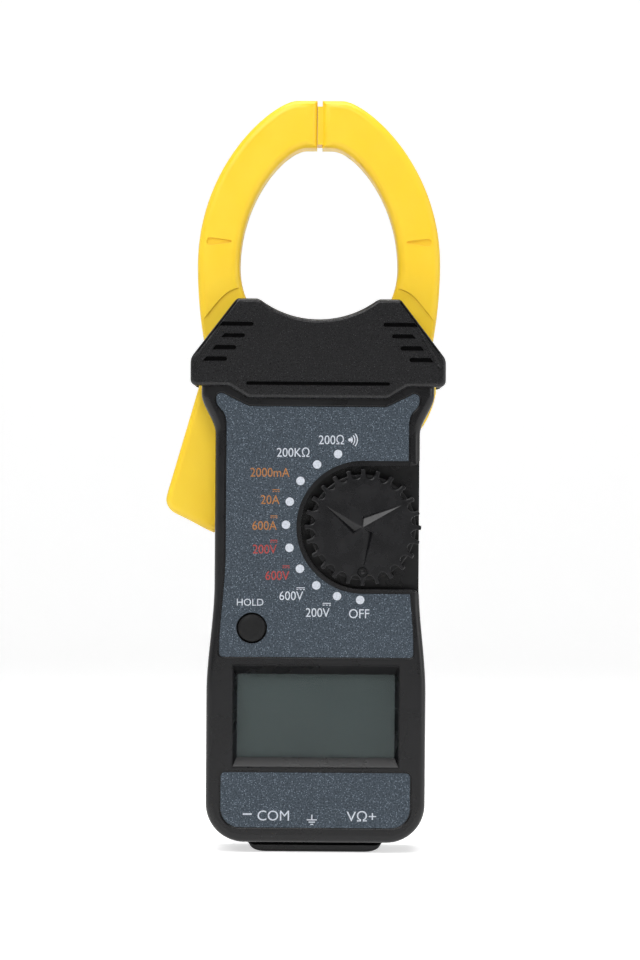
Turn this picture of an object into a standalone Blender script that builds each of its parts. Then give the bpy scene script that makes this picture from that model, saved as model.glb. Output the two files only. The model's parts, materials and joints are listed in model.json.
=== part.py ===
"""Clamp meter with two coupled jaws: its construction in metres, +Z up, display facing -Y.

The meter stands on the foot of its socket block at Z = 0, with X = 0 on the jaws' seam and
Y = 0 on the parting plane of the two case halves. Lengths below are in millimetres.
"""
from math import acos, asin, cos, degrees, pi, radians, sin, sqrt, tan

import bmesh
import bpy
from mathutils import Matrix, Vector

MM = 0.001
GAP = 0.3            # clearance between touching pieces

# case
CASE_FRONT_Y = -19.0
CASE_BACK_Y = 21.0
CASE_WALL = 2.0
CASE_EDGE = 2.4      # rounding of the front and back edges
BASE_Z = 3.3         # underside of the case
BASE_HALF = 34.3     # half widths: at the display, at the waist, at the shoulders
WAIST_HALF = 32.0
SHOULDER_HALF = 36.4
CORNER_R = 12.0
FLARE_Z = (50.0, 84.0)
SHOULDER_Z = (131.0, 143.5)

# hand guard around the head
GUARD_PROUD = 2.0    # how far it stands in front of the case and behind it
GUARD_WALL = 1.7
GUARD_HALF = 39.9
GUARD_CORNER_R = 1.2
GUARD_LOW_Z = 142.1
GUARD_SIDE_Z = 145.9
GUARD_SLANT_Z = 154.5
GUARD_SLANT_X = 38.6  # where the slanted shoulder starts, and its rise from the side
GUARD_SLANT_RISE = 1.8
GUARD_TOP_Z = 173.3
GUARD_TOP_X = (18.8, 25.6)
DIP_Z = 166.9        # lowest point of the round dip under the jaws
DIP_R = 30.4

# jaws, described for the right one; the left one is its mirror image
JAW_HALF_Y = 10.0
JAW_WALL = 1.8
JAW_EDGE = 2.4
JAW_TOP_Z = 236.0
JAW_WIDE_Z = 184.2   # height of the greatest width
JAW_OUT_X = 38.15
JAW_FLAT_X = 7.0
WINDOW_TOP_Z = 221.0
WINDOW_WIDE_Z = 183.6
WINDOW_HALF = 24.85
WINDOW_FLAT_X = 4.0
WINDOW_LOW_R = 25.0  # round lower end of the jaw window
SEAM_HALF = 0.8
TONGUE_Z = (222.2, 234.2)
TONGUE_OUT = 1.25    # how far the right jaw's tongue bridges the seam
LEG_Z = (150.0, 161.0)
LEG_END_X = 0.5
CORE_INSET = 4.4
CORE_LEG_INSET = 2.6
CORE_HALF_Y = 4.0
COIL_Z = (176.0, 206.0)

# pivots, levers and gears
PIVOT_X = 13.0
PIVOT_Z = 145.5
PIN_R = 1.75
HUB_R = 4.6
ARM_HALF_Y = 3.0
GRIP_HALF_Y = 8.0
GEAR_TEETH = 20
GEAR_THICK = 3.5
SPRING_Z = 134.0
SPRING_SEAT_X = 19.0
SPRING_R = 2.6
SPRING_WIRE_R = 0.45

# selector knob
KNOB_X = 14.3
KNOB_Z = 102.0
KNOB_R = 18.25
KNOB_RIM_R = 16.6
KNOB_NOTCH_R = 15.2
KNOB_TEETH = 24
KNOB_PROUD = 1.6
WELL_R = 19.4
WELL_DEPTH = 9.0
WELL_WALL = 1.6
SHAFT_R = 4.9
ROTOR_R = 15.0
DETENT_R = 11.0      # radius of the circle that the detent balls run on
BALL_R = 1.5

# hold button
HOLD_X = -20.2
HOLD_Z = 70.3
HOLD_R = 4.25
HOLD_PROUD = 0.8

# display
LCD_HALF_X = 24.7
LCD_Z = (29.8, 55.9)
LCD_BEVEL_X = 1.3
LCD_BEVEL_LOW = 3.1
LCD_BEVEL_HIGH = 2.9
LCD_DEPTH = 3.2

# labels
LABEL_SINK = 0.6
LABEL_THICK = 0.28
LABEL_CUT_R = 20.8   # cut-out round the knob

# circuit board, battery, sockets and screws
BOARD_Y = (-4.6, -3.0)
BOARD_HALF_X = 29.5
BOARD_Z = (11.2, 93.0, 119.0)
BATTERY_HALF_X = 13.1
BATTERY_Z = (14.3, 60.6)
BATTERY_Y = (1.2, 18.5)
BAY_CLEAR = 0.6
DOOR_HALF_X = 17.5
DOOR_Z = (9.0, 77.0)
DOOR_THICK = 2.0
DOOR_SCREW_Z = 72.5
SOCKET_X = 13.5
SOCKET_R = 3.5
SOCKET_Y = 0.6
SLEEVE_Z = (4.7, 11.9)
FOOT_HALF_X = 21.1
FOOT_Y = (-12.0, 14.0)
SCREW_R = 1.3
SCREW_HEAD_R = 2.7
BOSS_R = 4.2
LOW_SCREW = (27.5, 17.0)
HIGH_SCREW = (7.0, 125.5)
SCREW_TIP_Y = -14.0
SCREW_HEAD_Y = 9.3   # where the case screws' heads bear on their bosses
SCREW_HEAD_DEEP = 1.8

FAR = 60.0           # reach of a cutter that passes right through

COLOURS = {
    "black": (0.017, 0.017, 0.019, 0.55, 0.0),
    "yellow": (0.98, 0.67, 0.04, 0.42, 0.0),
    "slate": (0.046, 0.082, 0.107, 0.5, 0.0),
    "clear": (0.75, 0.8, 0.78, 0.1, 0.0),
    "display": (0.08, 0.11, 0.108, 0.3, 0.0),
    "white": (0.75, 0.75, 0.72, 0.5, 0.0),
    "board": (0.02, 0.16, 0.07, 0.5, 0.0),
    "steel": (0.6, 0.6, 0.61, 0.3, 1.0),
    "brass": (0.75, 0.55, 0.25, 0.3, 1.0),
    "copper": (0.72, 0.3, 0.14, 0.35, 1.0),
    "iron": (0.3, 0.3, 0.31, 0.45, 1.0),
    "rubber": (0.04, 0.04, 0.04, 0.8, 0.0),
    "red": (0.55, 0.03, 0.03, 0.5, 0.0),
}


# ---------------------------------------------------------------- outlines

def arc(cx, cz, radius, start, end, steps):
    """Points on an arc from one angle to another, in degrees, both ends included."""
    turn = (end - start) / steps
    angles = [radians(start + turn * i) for i in range(steps + 1)]
    return [(cx + radius * cos(a), cz + radius * sin(a)) for a in angles]


def bezier(p0, p1, p2, p3, steps):
    points = []
    for i in range(steps + 1):
        t = i / steps
        w = ((1 - t) ** 3, 3 * t * (1 - t) ** 2, 3 * t * t * (1 - t), t ** 3)
        points.append(tuple(sum(k * p[n] for k, p in zip(w, (p0, p1, p2, p3))) for n in (0, 1)))
    return points


def s_curve(x0, z0, x1, z1, steps):
    """A smooth step between two vertical stretches."""
    points = []
    for i in range(steps + 1):
        t = i / steps
        points.append((x0 + (x1 - x0) * t * t * (3 - 2 * t), z0 + (z1 - z0) * t))
    return points


def mirrored(half):
    """A whole outline from its right half, which runs from the bottom up."""
    left = [(-x, z) for x, z in reversed(half) if abs(x) > 1e-6]
    return [p for p in half] + left


def flipped(outline, side):
    """The outline itself on the right side (+1) and its mirror image on the left (-1)."""
    return [(side * x, z) for x, z in outline]


def inset(outline, distance):
    """A counter-clockwise outline moved inwards by a distance."""
    result = []
    count = len(outline)
    for i in range(count):
        (ax, az), (bx, bz), (cx, cz) = outline[i - 1], outline[i], outline[(i + 1) % count]
        u = Vector((bx - ax, bz - az)).normalized()
        v = Vector((cx - bx, cz - bz)).normalized()
        n = Vector((-u.y - v.y, u.x + v.x)).normalized()
        reach = distance / max(0.3, n.dot(Vector((-u.y, u.x))))
        result.append((bx + n.x * reach, bz + n.y * reach))
    return result


def rounded_box(x0, x1, z0, z1, radius, steps=3):
    """A rectangle with round corners, counter-clockwise."""
    points = []
    corners = ((x1, z0, -1, 1, -90), (x1, z1, -1, -1, 0), (x0, z1, 1, -1, 90), (x0, z0, 1, 1, 180))
    for x, z, sx, sz, start in corners:
        points += arc(x + sx * radius, z + sz * radius, radius, start, start + 90, steps)
    return points


def guard_half(corner=GUARD_CORNER_R):
    """Right half of the guard's outline, from the bottom centre to the dip."""
    dip_z = DIP_Z + DIP_R
    dip_angle = degrees(asin(18.0 / DIP_R))
    points = [(0, GUARD_LOW_Z), (21.7, GUARD_LOW_Z), (28.0, GUARD_SIDE_Z)]
    if corner:
        points += arc(GUARD_HALF - corner, GUARD_SIDE_Z + corner, corner, -90, 0, 2)
    else:
        points.append((GUARD_HALF, GUARD_SIDE_Z))
    points += [(GUARD_HALF, GUARD_SLANT_Z), (GUARD_SLANT_X, GUARD_SLANT_Z + GUARD_SLANT_RISE)]
    points += [(GUARD_TOP_X[1], GUARD_TOP_Z), (GUARD_TOP_X[0], GUARD_TOP_Z)]
    return points + arc(0, dip_z, DIP_R, dip_angle - 90, -90, 8)


def case_half():
    """Right half of the case's outline; its head follows the guard's inside."""
    step = GUARD_WALL + GAP
    top_z = GUARD_TOP_Z - step
    foot_z = GUARD_SLANT_Z + GUARD_SLANT_RISE
    slant = Vector((GUARD_TOP_X[1] - GUARD_SLANT_X, GUARD_TOP_Z - foot_z)).normalized()
    foot = Vector((GUARD_SLANT_X - step * slant.y, foot_z + step * slant.x))
    shoulder_top = foot.y + slant.y * (SHOULDER_HALF - foot.x) / slant.x
    crown_x = foot.x + slant.x * (top_z - foot.y) / slant.y
    dip_z, dip_r = DIP_Z + DIP_R, DIP_R + step
    dip_x = sqrt(dip_r ** 2 - (dip_z - top_z) ** 2)
    points = [(0, BASE_Z)]
    points += arc(BASE_HALF - CORNER_R, BASE_Z + CORNER_R, CORNER_R, -90, 0, 7)
    points += s_curve(BASE_HALF, FLARE_Z[0], WAIST_HALF, FLARE_Z[1], 6)
    points += s_curve(WAIST_HALF, SHOULDER_Z[0], SHOULDER_HALF, SHOULDER_Z[1], 6)
    points += [(SHOULDER_HALF, shoulder_top), (crown_x, top_z)]
    return points + arc(0, dip_z, dip_r, degrees(asin(dip_x / dip_r)) - 90, -90, 8)


def jaw_outline(ring=0.0, leg=0.0, end=LEG_END_X, seam=SEAM_HALF):
    """The right jaw's outline, counter-clockwise, its ring and its leg inset by amounts."""
    low, high = LEG_Z[0] + leg, LEG_Z[1] - leg
    side_r = 137.0 - ring
    side_x = JAW_OUT_X - 137.0
    corner = asin((LEG_Z[0] + 5 - JAW_WIDE_Z) / side_r)
    points = [(end, low), (31.5 - ring, low)]
    points += arc(side_x, JAW_WIDE_Z, side_r, degrees(corner), -1, 5)
    out = bezier((JAW_OUT_X - ring, JAW_WIDE_Z),
                 (JAW_OUT_X - ring, JAW_WIDE_Z + 0.62 * (JAW_TOP_Z - JAW_WIDE_Z)),
                 (JAW_FLAT_X + 7.5, JAW_TOP_Z - ring), (JAW_FLAT_X, JAW_TOP_Z - ring), 11)
    points += out + [(seam, JAW_TOP_Z - ring)]
    points += [(seam, WINDOW_TOP_Z + ring)]
    wide = WINDOW_HALF + ring
    points += bezier((WINDOW_FLAT_X, WINDOW_TOP_Z + ring),
                     (WINDOW_FLAT_X + 6.7, WINDOW_TOP_Z + ring),
                     (wide, WINDOW_WIDE_Z + 0.58 * (WINDOW_TOP_Z - WINDOW_WIDE_Z)),
                     (wide, WINDOW_WIDE_Z), 10)
    low_r = WINDOW_LOW_R + ring
    drop = degrees(asin((WINDOW_WIDE_Z - high) / low_r))
    points += arc(WINDOW_HALF - WINDOW_LOW_R, WINDOW_WIDE_Z, low_r, -4, -drop, 7)
    return points + [(end, high)]


def upper_label_half():
    points = [(0, 61.3)] + arc(30.3 - 1.2, 61.3 + 1.2, 1.2, -90, 0, 3)
    points += [(29.3, 78.0), (28.5, 93.0), (28.5, 134.0)]
    points += bezier((28.5, 135.0), (28.8, 139.5), (31.7, 139.0), (31.7, 142.0), 4)
    points += arc(30.2, 142.2, 1.5, 10, 100, 3)
    return points + [(28.6, 143.6), (21.4, 139.6), (0, 139.6)]


def well_outline(radius, reach):
    """Round on the left and open to the right, as the knob's well and its label cut-out are."""
    points = arc(KNOB_X, KNOB_Z, radius, 90, 270, 24)
    return points + [(reach, KNOB_Z - radius), (reach, KNOB_Z + radius)]


# ---------------------------------------------------------------- solids

def to_object(name, bm):
    bmesh.ops.recalc_face_normals(bm, faces=bm.faces)
    mesh = bpy.data.meshes.new(name)
    bm.to_mesh(mesh)
    bm.free()
    piece = bpy.data.objects.new(name, mesh)
    bpy.context.scene.collection.objects.link(piece)
    return piece


def prism(outline, y0, y1, front=0.0, back=0.0, steps=2):
    """An outline in the XZ plane extruded along Y, with its end edges rounded."""
    bm = bmesh.new()
    ring = [bm.verts.new((x * MM, y0 * MM, z * MM)) for x, z in outline]
    face = bm.faces.new(ring)
    grown = bmesh.ops.extrude_face_region(bm, geom=[face])
    verts = [v for v in grown["geom"] if isinstance(v, bmesh.types.BMVert)]
    bmesh.ops.translate(bm, verts=verts, vec=(0, (y1 - y0) * MM, 0))
    for y, width in ((y0, front), (y1, back)):
        if width:
            level = y * MM
            rim = [e for e in bm.edges if all(abs(v.co.y - level) < 1e-7 for v in e.verts)]
            bmesh.ops.bevel(bm, geom=rim, offset=width * MM, offset_type="OFFSET", profile=0.5,
                            segments=steps, affect="EDGES", material=-1)
    return to_object("shape", bm)


def box(x0, x1, y0, y1, z0, z1):
    return prism([(x0, z0), (x1, z0), (x1, z1), (x0, z1)], y0, y1)


def rod(axis, a, b, radius, low, high, sides=24):
    """A cylinder along an axis between two places; a and b are its other coordinates."""
    bm = bmesh.new()
    bmesh.ops.create_cone(bm, cap_ends=True, segments=sides, radius1=radius * MM,
                          radius2=radius * MM, depth=(high - low) * MM)
    middle = (low + high) / 2
    if axis == "X":
        turn, place = Matrix.Rotation(pi / 2, 4, "Y"), (middle, a, b)
    elif axis == "Y":
        turn, place = Matrix.Rotation(pi / 2, 4, "X"), (a, middle, b)
    else:
        turn, place = Matrix.Identity(4), (a, b, middle)
    bmesh.ops.transform(bm, matrix=Matrix.Translation(Vector(place) * MM) @ turn, verts=bm.verts)
    return to_object("shape", bm)


def frustum(front, y0, back, y1):
    """A tapered block between two rectangles (x0, x1, z0, z1)."""
    bm = bmesh.new()
    loops = []
    for (x0, x1, z0, z1), y in ((front, y0), (back, y1)):
        corners = ((x0, z0), (x1, z0), (x1, z1), (x0, z1))
        verts = [bm.verts.new((x * MM, y * MM, z * MM)) for x, z in corners]
        loops.append(bm.faces.new(verts))
    edges = [e for face in loops for e in face.edges]
    bmesh.ops.bridge_loops(bm, edges=edges)
    return to_object("shape", bm)


def ball(x, y, z, radius):
    bm = bmesh.new()
    bmesh.ops.create_uvsphere(bm, u_segments=12, v_segments=8, radius=radius * MM)
    bmesh.ops.translate(bm, verts=bm.verts, vec=Vector((x, y, z)) * MM)
    return to_object("shape", bm)


def boolean(target, tool, operation):
    change = target.modifiers.new("Boolean", "BOOLEAN")
    change.operation = operation
    change.solver = "EXACT"
    change.object = tool
    graph = bpy.context.evaluated_depsgraph_get()
    graph.update()
    mesh = bpy.data.meshes.new_from_object(target.evaluated_get(graph))
    target.modifiers.clear()
    target.data = mesh
    bpy.data.objects.remove(tool)
    return target


def cut(target, *tools):
    for tool in tools:
        boolean(target, tool, "DIFFERENCE")
    return target


def join(target, *tools):
    for tool in tools:
        boolean(target, tool, "UNION")
    return target


def keep_inside(target, tool):
    return boolean(target, tool, "INTERSECT")


def wire(name, points, radius, resolution=1):
    """A round wire along points, with closed ends."""
    curve = bpy.data.curves.new(name, "CURVE")
    curve.dimensions = "3D"
    curve.bevel_depth = radius * MM
    curve.bevel_resolution = resolution
    curve.use_fill_caps = True
    spline = curve.splines.new("POLY")
    spline.points.add(len(points) - 1)
    for point, place in zip(spline.points, points):
        point.co = (*(Vector(place) * MM), 1)
    piece = bpy.data.objects.new(name, curve)
    bpy.context.scene.collection.objects.link(piece)
    return piece


def material(colour):
    found = bpy.data.materials.get(colour)
    if found:
        return found
    made = bpy.data.materials.new(colour)
    made.use_nodes = True
    shader = made.node_tree.nodes["Principled BSDF"]
    red, green, blue, rough, metal = COLOURS[colour]
    shader.inputs["Base Color"].default_value = (red, green, blue, 1)
    shader.inputs["Roughness"].default_value = rough
    shader.inputs["Metallic"].default_value = metal
    return made


def name_piece(name, piece, colour, parent=None):
    """Names a finished piece, gives it its material and hangs it on its joint's empty."""
    piece.name = name
    piece.data.name = name
    piece.data.materials.clear()
    piece.data.materials.append(material(colour))
    if piece.type == "MESH":
        piece.data.shade_smooth()
        piece.data.set_sharp_from_angle(angle=radians(35))
    if parent:
        piece.parent = parent
        piece.matrix_parent_inverse = parent.matrix_world.inverted()
    return piece


def pivot(name, x, y, z):
    """An empty on a joint's axis."""
    empty = bpy.data.objects.new(name, None)
    empty.empty_display_size = 0.01
    empty.matrix_world = Matrix.Translation(Vector((x, y, z)) * MM)
    bpy.context.scene.collection.objects.link(empty)
    bpy.context.view_layer.update()
    return empty


# ---------------------------------------------------------------- case, guard and labels

def screw_places():
    return [(side * x, z) for x, z in (LOW_SCREW, HIGH_SCREW) for side in (-1, 1)]


def trigger_slots(y0, y1):
    """Cutters that let the trigger and the right lever through the side walls."""
    half = GRIP_HALF_Y + 1.0
    low, high = max(y0, -half), min(y1, half)
    return [box(-FAR, -28, low, high, 95.0, LEG_Z[0]), box(28, FAR, low, high, 128.5, LEG_Z[0])]


def jaw_slot(y0, y1):
    half = JAW_HALF_Y + 1.0
    return box(-FAR, FAR, max(y0, -half), min(y1, half), GUARD_SIDE_Z + 0.3, JAW_TOP_Z)


def front_case():
    inside = CASE_FRONT_Y + CASE_WALL
    outline = mirrored(case_half())
    shell = prism(outline, CASE_FRONT_Y, -GAP / 2, front=CASE_EDGE)
    cut(shell, prism(inset(outline, CASE_WALL), inside, 1))
    floor = CASE_FRONT_Y + WELL_DEPTH
    well_back = floor + WELL_WALL
    inner_reach = WAIST_HALF - 0.5
    join(shell, prism(well_outline(WELL_R + WELL_WALL, inner_reach), inside - 0.5, well_back))
    low, high = LCD_Z
    frame_back = CASE_FRONT_Y + LCD_DEPTH
    join(shell, box(-LCD_HALF_X - 4, LCD_HALF_X + 4, inside - 0.5, frame_back, low - 4, high + 4))
    for x, z in screw_places():
        end = BOARD_Y[0] - GAP if z < BOARD_Z[0] + 20 else -GAP / 2
        join(shell, rod("Y", x, z, BOSS_R - 1, inside - 0.5, end, 16))
        cut(shell, rod("Y", x, z, SCREW_R + 0.2, inside + 1, 1, 12))
    for side in (-1, 1):
        join(shell, rod("Y", side * PIVOT_X, PIVOT_Z, 4, inside - 0.5, -JAW_HALF_Y - 0.4, 16))
        cut(shell, rod("Y", side * PIVOT_X, PIVOT_Z, PIN_R + 0.25, inside + 1, 1, 16))
    cut(shell, prism(well_outline(WELL_R, FAR), -FAR, floor))
    cut(shell, rod("Y", KNOB_X, KNOB_Z, SHAFT_R + GAP, floor - 1, well_back + 1))
    opening = (-LCD_HALF_X - LCD_BEVEL_X, LCD_HALF_X + LCD_BEVEL_X,
               low - LCD_BEVEL_LOW, high + LCD_BEVEL_HIGH)
    sight = (-LCD_HALF_X, LCD_HALF_X, low, high)
    cut(shell, frustum(opening, CASE_FRONT_Y - 0.01, sight, frame_back + 0.01))
    cut(shell, rod("Y", HOLD_X, HOLD_Z, HOLD_R + 0.6, -FAR, inside + 1))
    sink = CASE_FRONT_Y + LABEL_SINK
    for label in (upper_label_outline(), lower_label_outline()):
        cut(shell, prism(inset(label, -0.25), -FAR, sink))
    cut(shell, *trigger_slots(-FAR, 1), jaw_slot(-FAR, 1))
    cut(shell, foot_slot(-FAR, 1))
    return name_piece("front_case", shell, "black")


def foot_slot(y0, y1):
    """Opening in the bottom wall that the socket block's neck passes through."""
    low, high = max(y0, FOOT_Y[0] + 1 - GAP), min(y1, FOOT_Y[1] - 1 + GAP)
    return box(-FOOT_HALF_X + 1.5, FOOT_HALF_X - 1.5, low, high, BASE_Z - 2, BASE_Z + 3)


def rear_case():
    inside = CASE_BACK_Y - CASE_WALL
    outline = mirrored(case_half())
    shell = prism(outline, GAP / 2, CASE_BACK_Y, back=CASE_EDGE)
    cut(shell, prism(inset(outline, CASE_WALL), -1, inside))
    ledge = CASE_BACK_Y - DOOR_THICK - GAP
    bay_x = BATTERY_HALF_X + BAY_CLEAR
    bay = (BATTERY_Z[0] - BAY_CLEAR, BATTERY_Z[1] + 7.0)
    join(shell, box(-DOOR_HALF_X - 2.5, DOOR_HALF_X + 2.5, ledge - 1.8, inside + 0.5,
                    DOOR_Z[0] - 2, DOOR_Z[1] + 2))
    join(shell, box(-bay_x - 1.4, bay_x + 1.4, GAP / 2, ledge - 0.5, bay[0] - 1.4, bay[1] + 1.4))
    for x, z in screw_places():
        end = BOARD_Y[1] + GAP if z < BOARD_Z[0] + 20 else GAP / 2
        join(shell, rod("Y", x, z, BOSS_R, end, inside + 0.5, 16))
        cut(shell, rod("Y", x, z, SCREW_R + 0.3, -FAR, FAR, 12))
        cut(shell, rod("Y", x, z, SCREW_HEAD_R + 0.3, 9.0, FAR, 16))
    gear_back = JAW_HALF_Y + GAP + GEAR_THICK
    for side in (-1, 1):
        join(shell, rod("Y", side * PIVOT_X, PIVOT_Z, 4, gear_back + 0.4, inside + 0.5, 16))
        cut(shell, rod("Y", side * PIVOT_X, PIVOT_Z, PIN_R + 0.25, -FAR, inside - 1, 16))
    join(shell, rod("Y", 0, DOOR_SCREW_Z, 3, 6, ledge - 0.5, 16))
    cut(shell, box(-DOOR_HALF_X - GAP, DOOR_HALF_X + GAP, ledge, FAR,
                   DOOR_Z[0] - GAP, DOOR_Z[1] + GAP))
    cut(shell, rod("Y", 0, DOOR_SCREW_Z, SCREW_R + 0.2, 8, FAR, 12))
    cut(shell, box(-bay_x, bay_x, BATTERY_Y[0] - GAP, FAR, bay[0], bay[1]))
    cut(shell, box(-9, 9, BATTERY_Y[0] + 2, ledge - 3, bay[1] - 1, bay[1] + 2))
    cut(shell, *trigger_slots(-1, FAR), jaw_slot(-1, FAR))
    cut(shell, foot_slot(-1, FAR))
    return name_piece("rear_case", shell, "black")


def guard(name, front):
    """The cap over the head: a pan with a rim, and a saddle under the jaws' window."""
    face = CASE_FRONT_Y - GUARD_PROUD if front else CASE_BACK_Y + GUARD_PROUD
    sign = -1 if front else 1
    seat = (CASE_FRONT_Y if front else CASE_BACK_Y) + sign * GAP
    rim = sign * (JAW_HALF_Y + 1)
    outline = mirrored(guard_half())
    ends = sorted((face, rim))
    edges = {"front": 1.3} if front else {"back": 1.3}
    pan = prism(outline, *ends, **edges)
    hollow = inset(mirrored(guard_half(corner=0)), GUARD_WALL)
    cut(pan, prism(hollow, *sorted((seat, 0))))
    body = SHOULDER_HALF + 1.8
    cut(pan, box(-body, body, *sorted((seat, 0)), GUARD_LOW_Z - 5, GUARD_SIDE_Z + 3.1))
    centre = DIP_Z + DIP_R
    inner = arc(0, centre, DIP_R, -122, -58, 12)
    outer = arc(0, centre, DIP_R + GUARD_WALL - 0.1, -58, -122, 12)
    join(pan, prism(inner[::-1] + outer[::-1], *sorted((seat + sign * 0.5, sign * GAP / 2))))
    return name_piece(name, pan, "black")


def upper_label_outline():
    return mirrored(upper_label_half())


def lower_label_outline():
    half = [(0, 8.0)] + arc(29.6 - 6, 8.0 + 6, 6, -90, 0, 4)
    half += arc(29.6 - 1.4, 25.2 - 1.4, 1.4, 0, 90, 2)
    return mirrored(half + [(0, 25.2)])


def label(name, outline, cutters=()):
    front = CASE_FRONT_Y + LABEL_SINK - GAP - LABEL_THICK
    plate = prism(outline, front, front + LABEL_THICK)
    cut(plate, *cutters)
    return name_piece(name, plate, "slate")


def labels():
    knob_cut = prism(well_outline(LABEL_CUT_R, FAR), -FAR, 0)
    hold_cut = rod("Y", HOLD_X, HOLD_Z, HOLD_R + 0.6, -FAR, 0)
    label("upper_label", upper_label_outline(), (knob_cut, hold_cut))
    label("lower_label", lower_label_outline())


# ---------------------------------------------------------------- display and electronics

def display():
    front = CASE_FRONT_Y + LCD_DEPTH + GAP
    low, high = LCD_Z[0] - 3.1, LCD_Z[1] + 3.1
    wide = LCD_HALF_X + 2.6
    ledge = front + 4.6
    back = BOARD_Y[0] - GAP
    holder = box(-wide - 1.7, wide + 1.7, front, back, low - 1.5, high + 1.5)
    cut(holder, box(-wide, wide, front - 1, ledge, low, high))
    cut(holder, box(-wide + 2, wide - 2, front, back + 1, low + 1.5, high - 1.5))
    name_piece("lcd_holder", holder, "white")
    edge = (-wide + GAP, wide - GAP)
    lens = prism(rounded_box(*edge, low + GAP, high - GAP, 1.0), front, front + 1.2)
    name_piece("lcd_window", lens, "clear")
    glass = box(*edge, front + 1.2 + GAP, ledge - GAP, low + GAP, high - GAP)
    name_piece("lcd_glass", glass, "display")
    strip = box(-wide + 3, wide - 3, ledge, back, low + 2, low + 4.5)
    name_piece("zebra_strip", strip, "rubber")


def board():
    low, step, high = BOARD_Z
    plate = box(-BOARD_HALF_X, BOARD_HALF_X, *BOARD_Y, low, step)
    join(plate, box(KNOB_X - 27, BOARD_HALF_X, *BOARD_Y, step - 1, high))
    for side in (-1, 1):
        cut(plate, rod("Y", side * LOW_SCREW[0], LOW_SCREW[1], SCREW_R + 0.4, -FAR, FAR, 12))
    name_piece("main_board", plate, "board")
    front = BOARD_Y[0] - GAP
    name_piece("controller_chip", box(-9, 5, front - 2.2, front, 69, 83), "rubber")
    name_piece("buzzer", rod("Y", 20, 73.5, 5.5, front - 3.2, front, 20), "rubber")
    name_piece("trimmer", box(-27, -21, front - 3.4, front, 82, 88), "brass")
    name_piece("fuse", rod("X", front - 2.6, 65.2, 2.6, 1, 21, 16), "clear")
    name_piece("capacitor", rod("X", front - 2.5, 64.5, 2.5, -15, -6, 16), "steel")
    press = CASE_FRONT_Y + HOLD_PROUD + 6.3
    switch = box(HOLD_X - 3, HOLD_X + 3, front - 3.5, front, HOLD_Z - 3, HOLD_Z + 3)
    join(switch, rod("Y", HOLD_X, HOLD_Z, 1.7, press + 0.9, front - 3, 12))
    name_piece("tact_switch", switch, "rubber")


def battery():
    low, high = BATTERY_Z
    front, back = BATTERY_Y
    middle = (front + back) / 2
    cell = box(-BATTERY_HALF_X, BATTERY_HALF_X, front, back, low, high)
    for x in (-6.4, 6.4):
        join(cell, rod("Z", x, middle, 3, high - 1, high + 2.4, 16))
    name_piece("battery", cell, "steel")
    snap = box(-12, 12, front + 1, back - 1, high + GAP, high + 4)
    for x in (-6.4, 6.4):
        cut(snap, rod("Z", x, middle, 3.2, high - 1, high + 2.7, 16))
    name_piece("battery_snap", snap, "rubber")
    top = high + 4 + GAP
    board_back = BOARD_Y[1] + GAP
    for name, x, colour in (("lead_red", -6.4, "red"), ("lead_black", 6.4, "black")):
        route = [(x, middle, top), (x, middle, top + 5)]
        bend = middle - 3
        route += [(x, middle - 3 * sin(a), top + 5 + 3 * (1 - cos(a))) for a in (0.5, 1.1)]
        route += [(x, bend, top + 8), (x, board_back + 2, top + 8), (x, board_back, top + 8)]
        name_piece(name, wire(name, route, 0.7), colour)


def battery_door(slide):
    back = CASE_BACK_Y
    plate = prism(rounded_box(-DOOR_HALF_X, DOOR_HALF_X, *DOOR_Z, 1.5), back - DOOR_THICK, back)
    cut(plate, rod("Y", 0, DOOR_SCREW_Z, SCREW_R + 0.3, -FAR, FAR, 12))
    cut(plate, rod("Y", 0, DOOR_SCREW_Z, SCREW_HEAD_R + 0.3, back - 1.0, FAR, 16))
    name_piece("battery_door", plate, "black", slide)
    name_piece("door_screw", screw(0, DOOR_SCREW_Z, 10, back - 0.7, 1.0), "steel", slide)


def screw(x, z, tip, head, thick):
    """A pan-head screw along Y with a cross recess; head is its underside."""
    piece = rod("Y", x, z, SCREW_R, tip, head + 0.1, 12)
    join(piece, rod("Y", x, z, SCREW_HEAD_R, head, head + thick, 16))
    for wide, tall in ((1.6, 0.35), (0.35, 1.6)):
        cut(piece, box(x - wide, x + wide, head + thick * 0.45, FAR, z - tall, z + tall))
    return piece


def case_screws():
    for level, (x, z) in (("lower", LOW_SCREW), ("upper", HIGH_SCREW)):
        for side, hand in ((-1, "left"), (1, "right")):
            piece = screw(side * x, z, SCREW_TIP_Y, SCREW_HEAD_Y, SCREW_HEAD_DEEP)
            name_piece(f"case_screw_{level}_{hand}", piece, "steel")


def sockets():
    y0, y1 = FOOT_Y
    flange = BASE_Z + CASE_WALL + GAP
    foot = prism(rounded_foot(), y0, y1)
    join(foot, box(-FOOT_HALF_X + 1.8, FOOT_HALF_X - 1.8, y0 + 1, y1 - 1, 1.5, flange + 1))
    join(foot, box(-FOOT_HALF_X, FOOT_HALF_X, y0, y1, flange, flange + 5))
    for side in (-1, 1):
        x = side * SOCKET_X
        cut(foot, rod("Z", x, SOCKET_Y, SOCKET_R, -1, FAR, 24))
    name_piece("socket_block", foot, "black")
    for side, name in ((-1, "com_socket_sleeve"), (1, "volt_socket_sleeve")):
        x = side * SOCKET_X
        sleeve = rod("Z", x, SOCKET_Y, SOCKET_R - GAP, *SLEEVE_Z)
        cut(sleeve, rod("Z", x, SOCKET_Y, 2.05, SLEEVE_Z[0] - 1, SLEEVE_Z[1] - 1.5))
        name_piece(name, sleeve, "brass")


def rounded_foot():
    """The foot's outline below the case, with round lower corners."""
    half = [(0, 0)] + arc(FOOT_HALF_X - 5.5, 2.6, 2.6, -90, -60, 2)
    half += [(FOOT_HALF_X - 1.4, 1.1), (FOOT_HALF_X, BASE_Z - GAP), (0, BASE_Z - GAP)]
    return mirrored(half)


# ---------------------------------------------------------------- jaws

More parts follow.
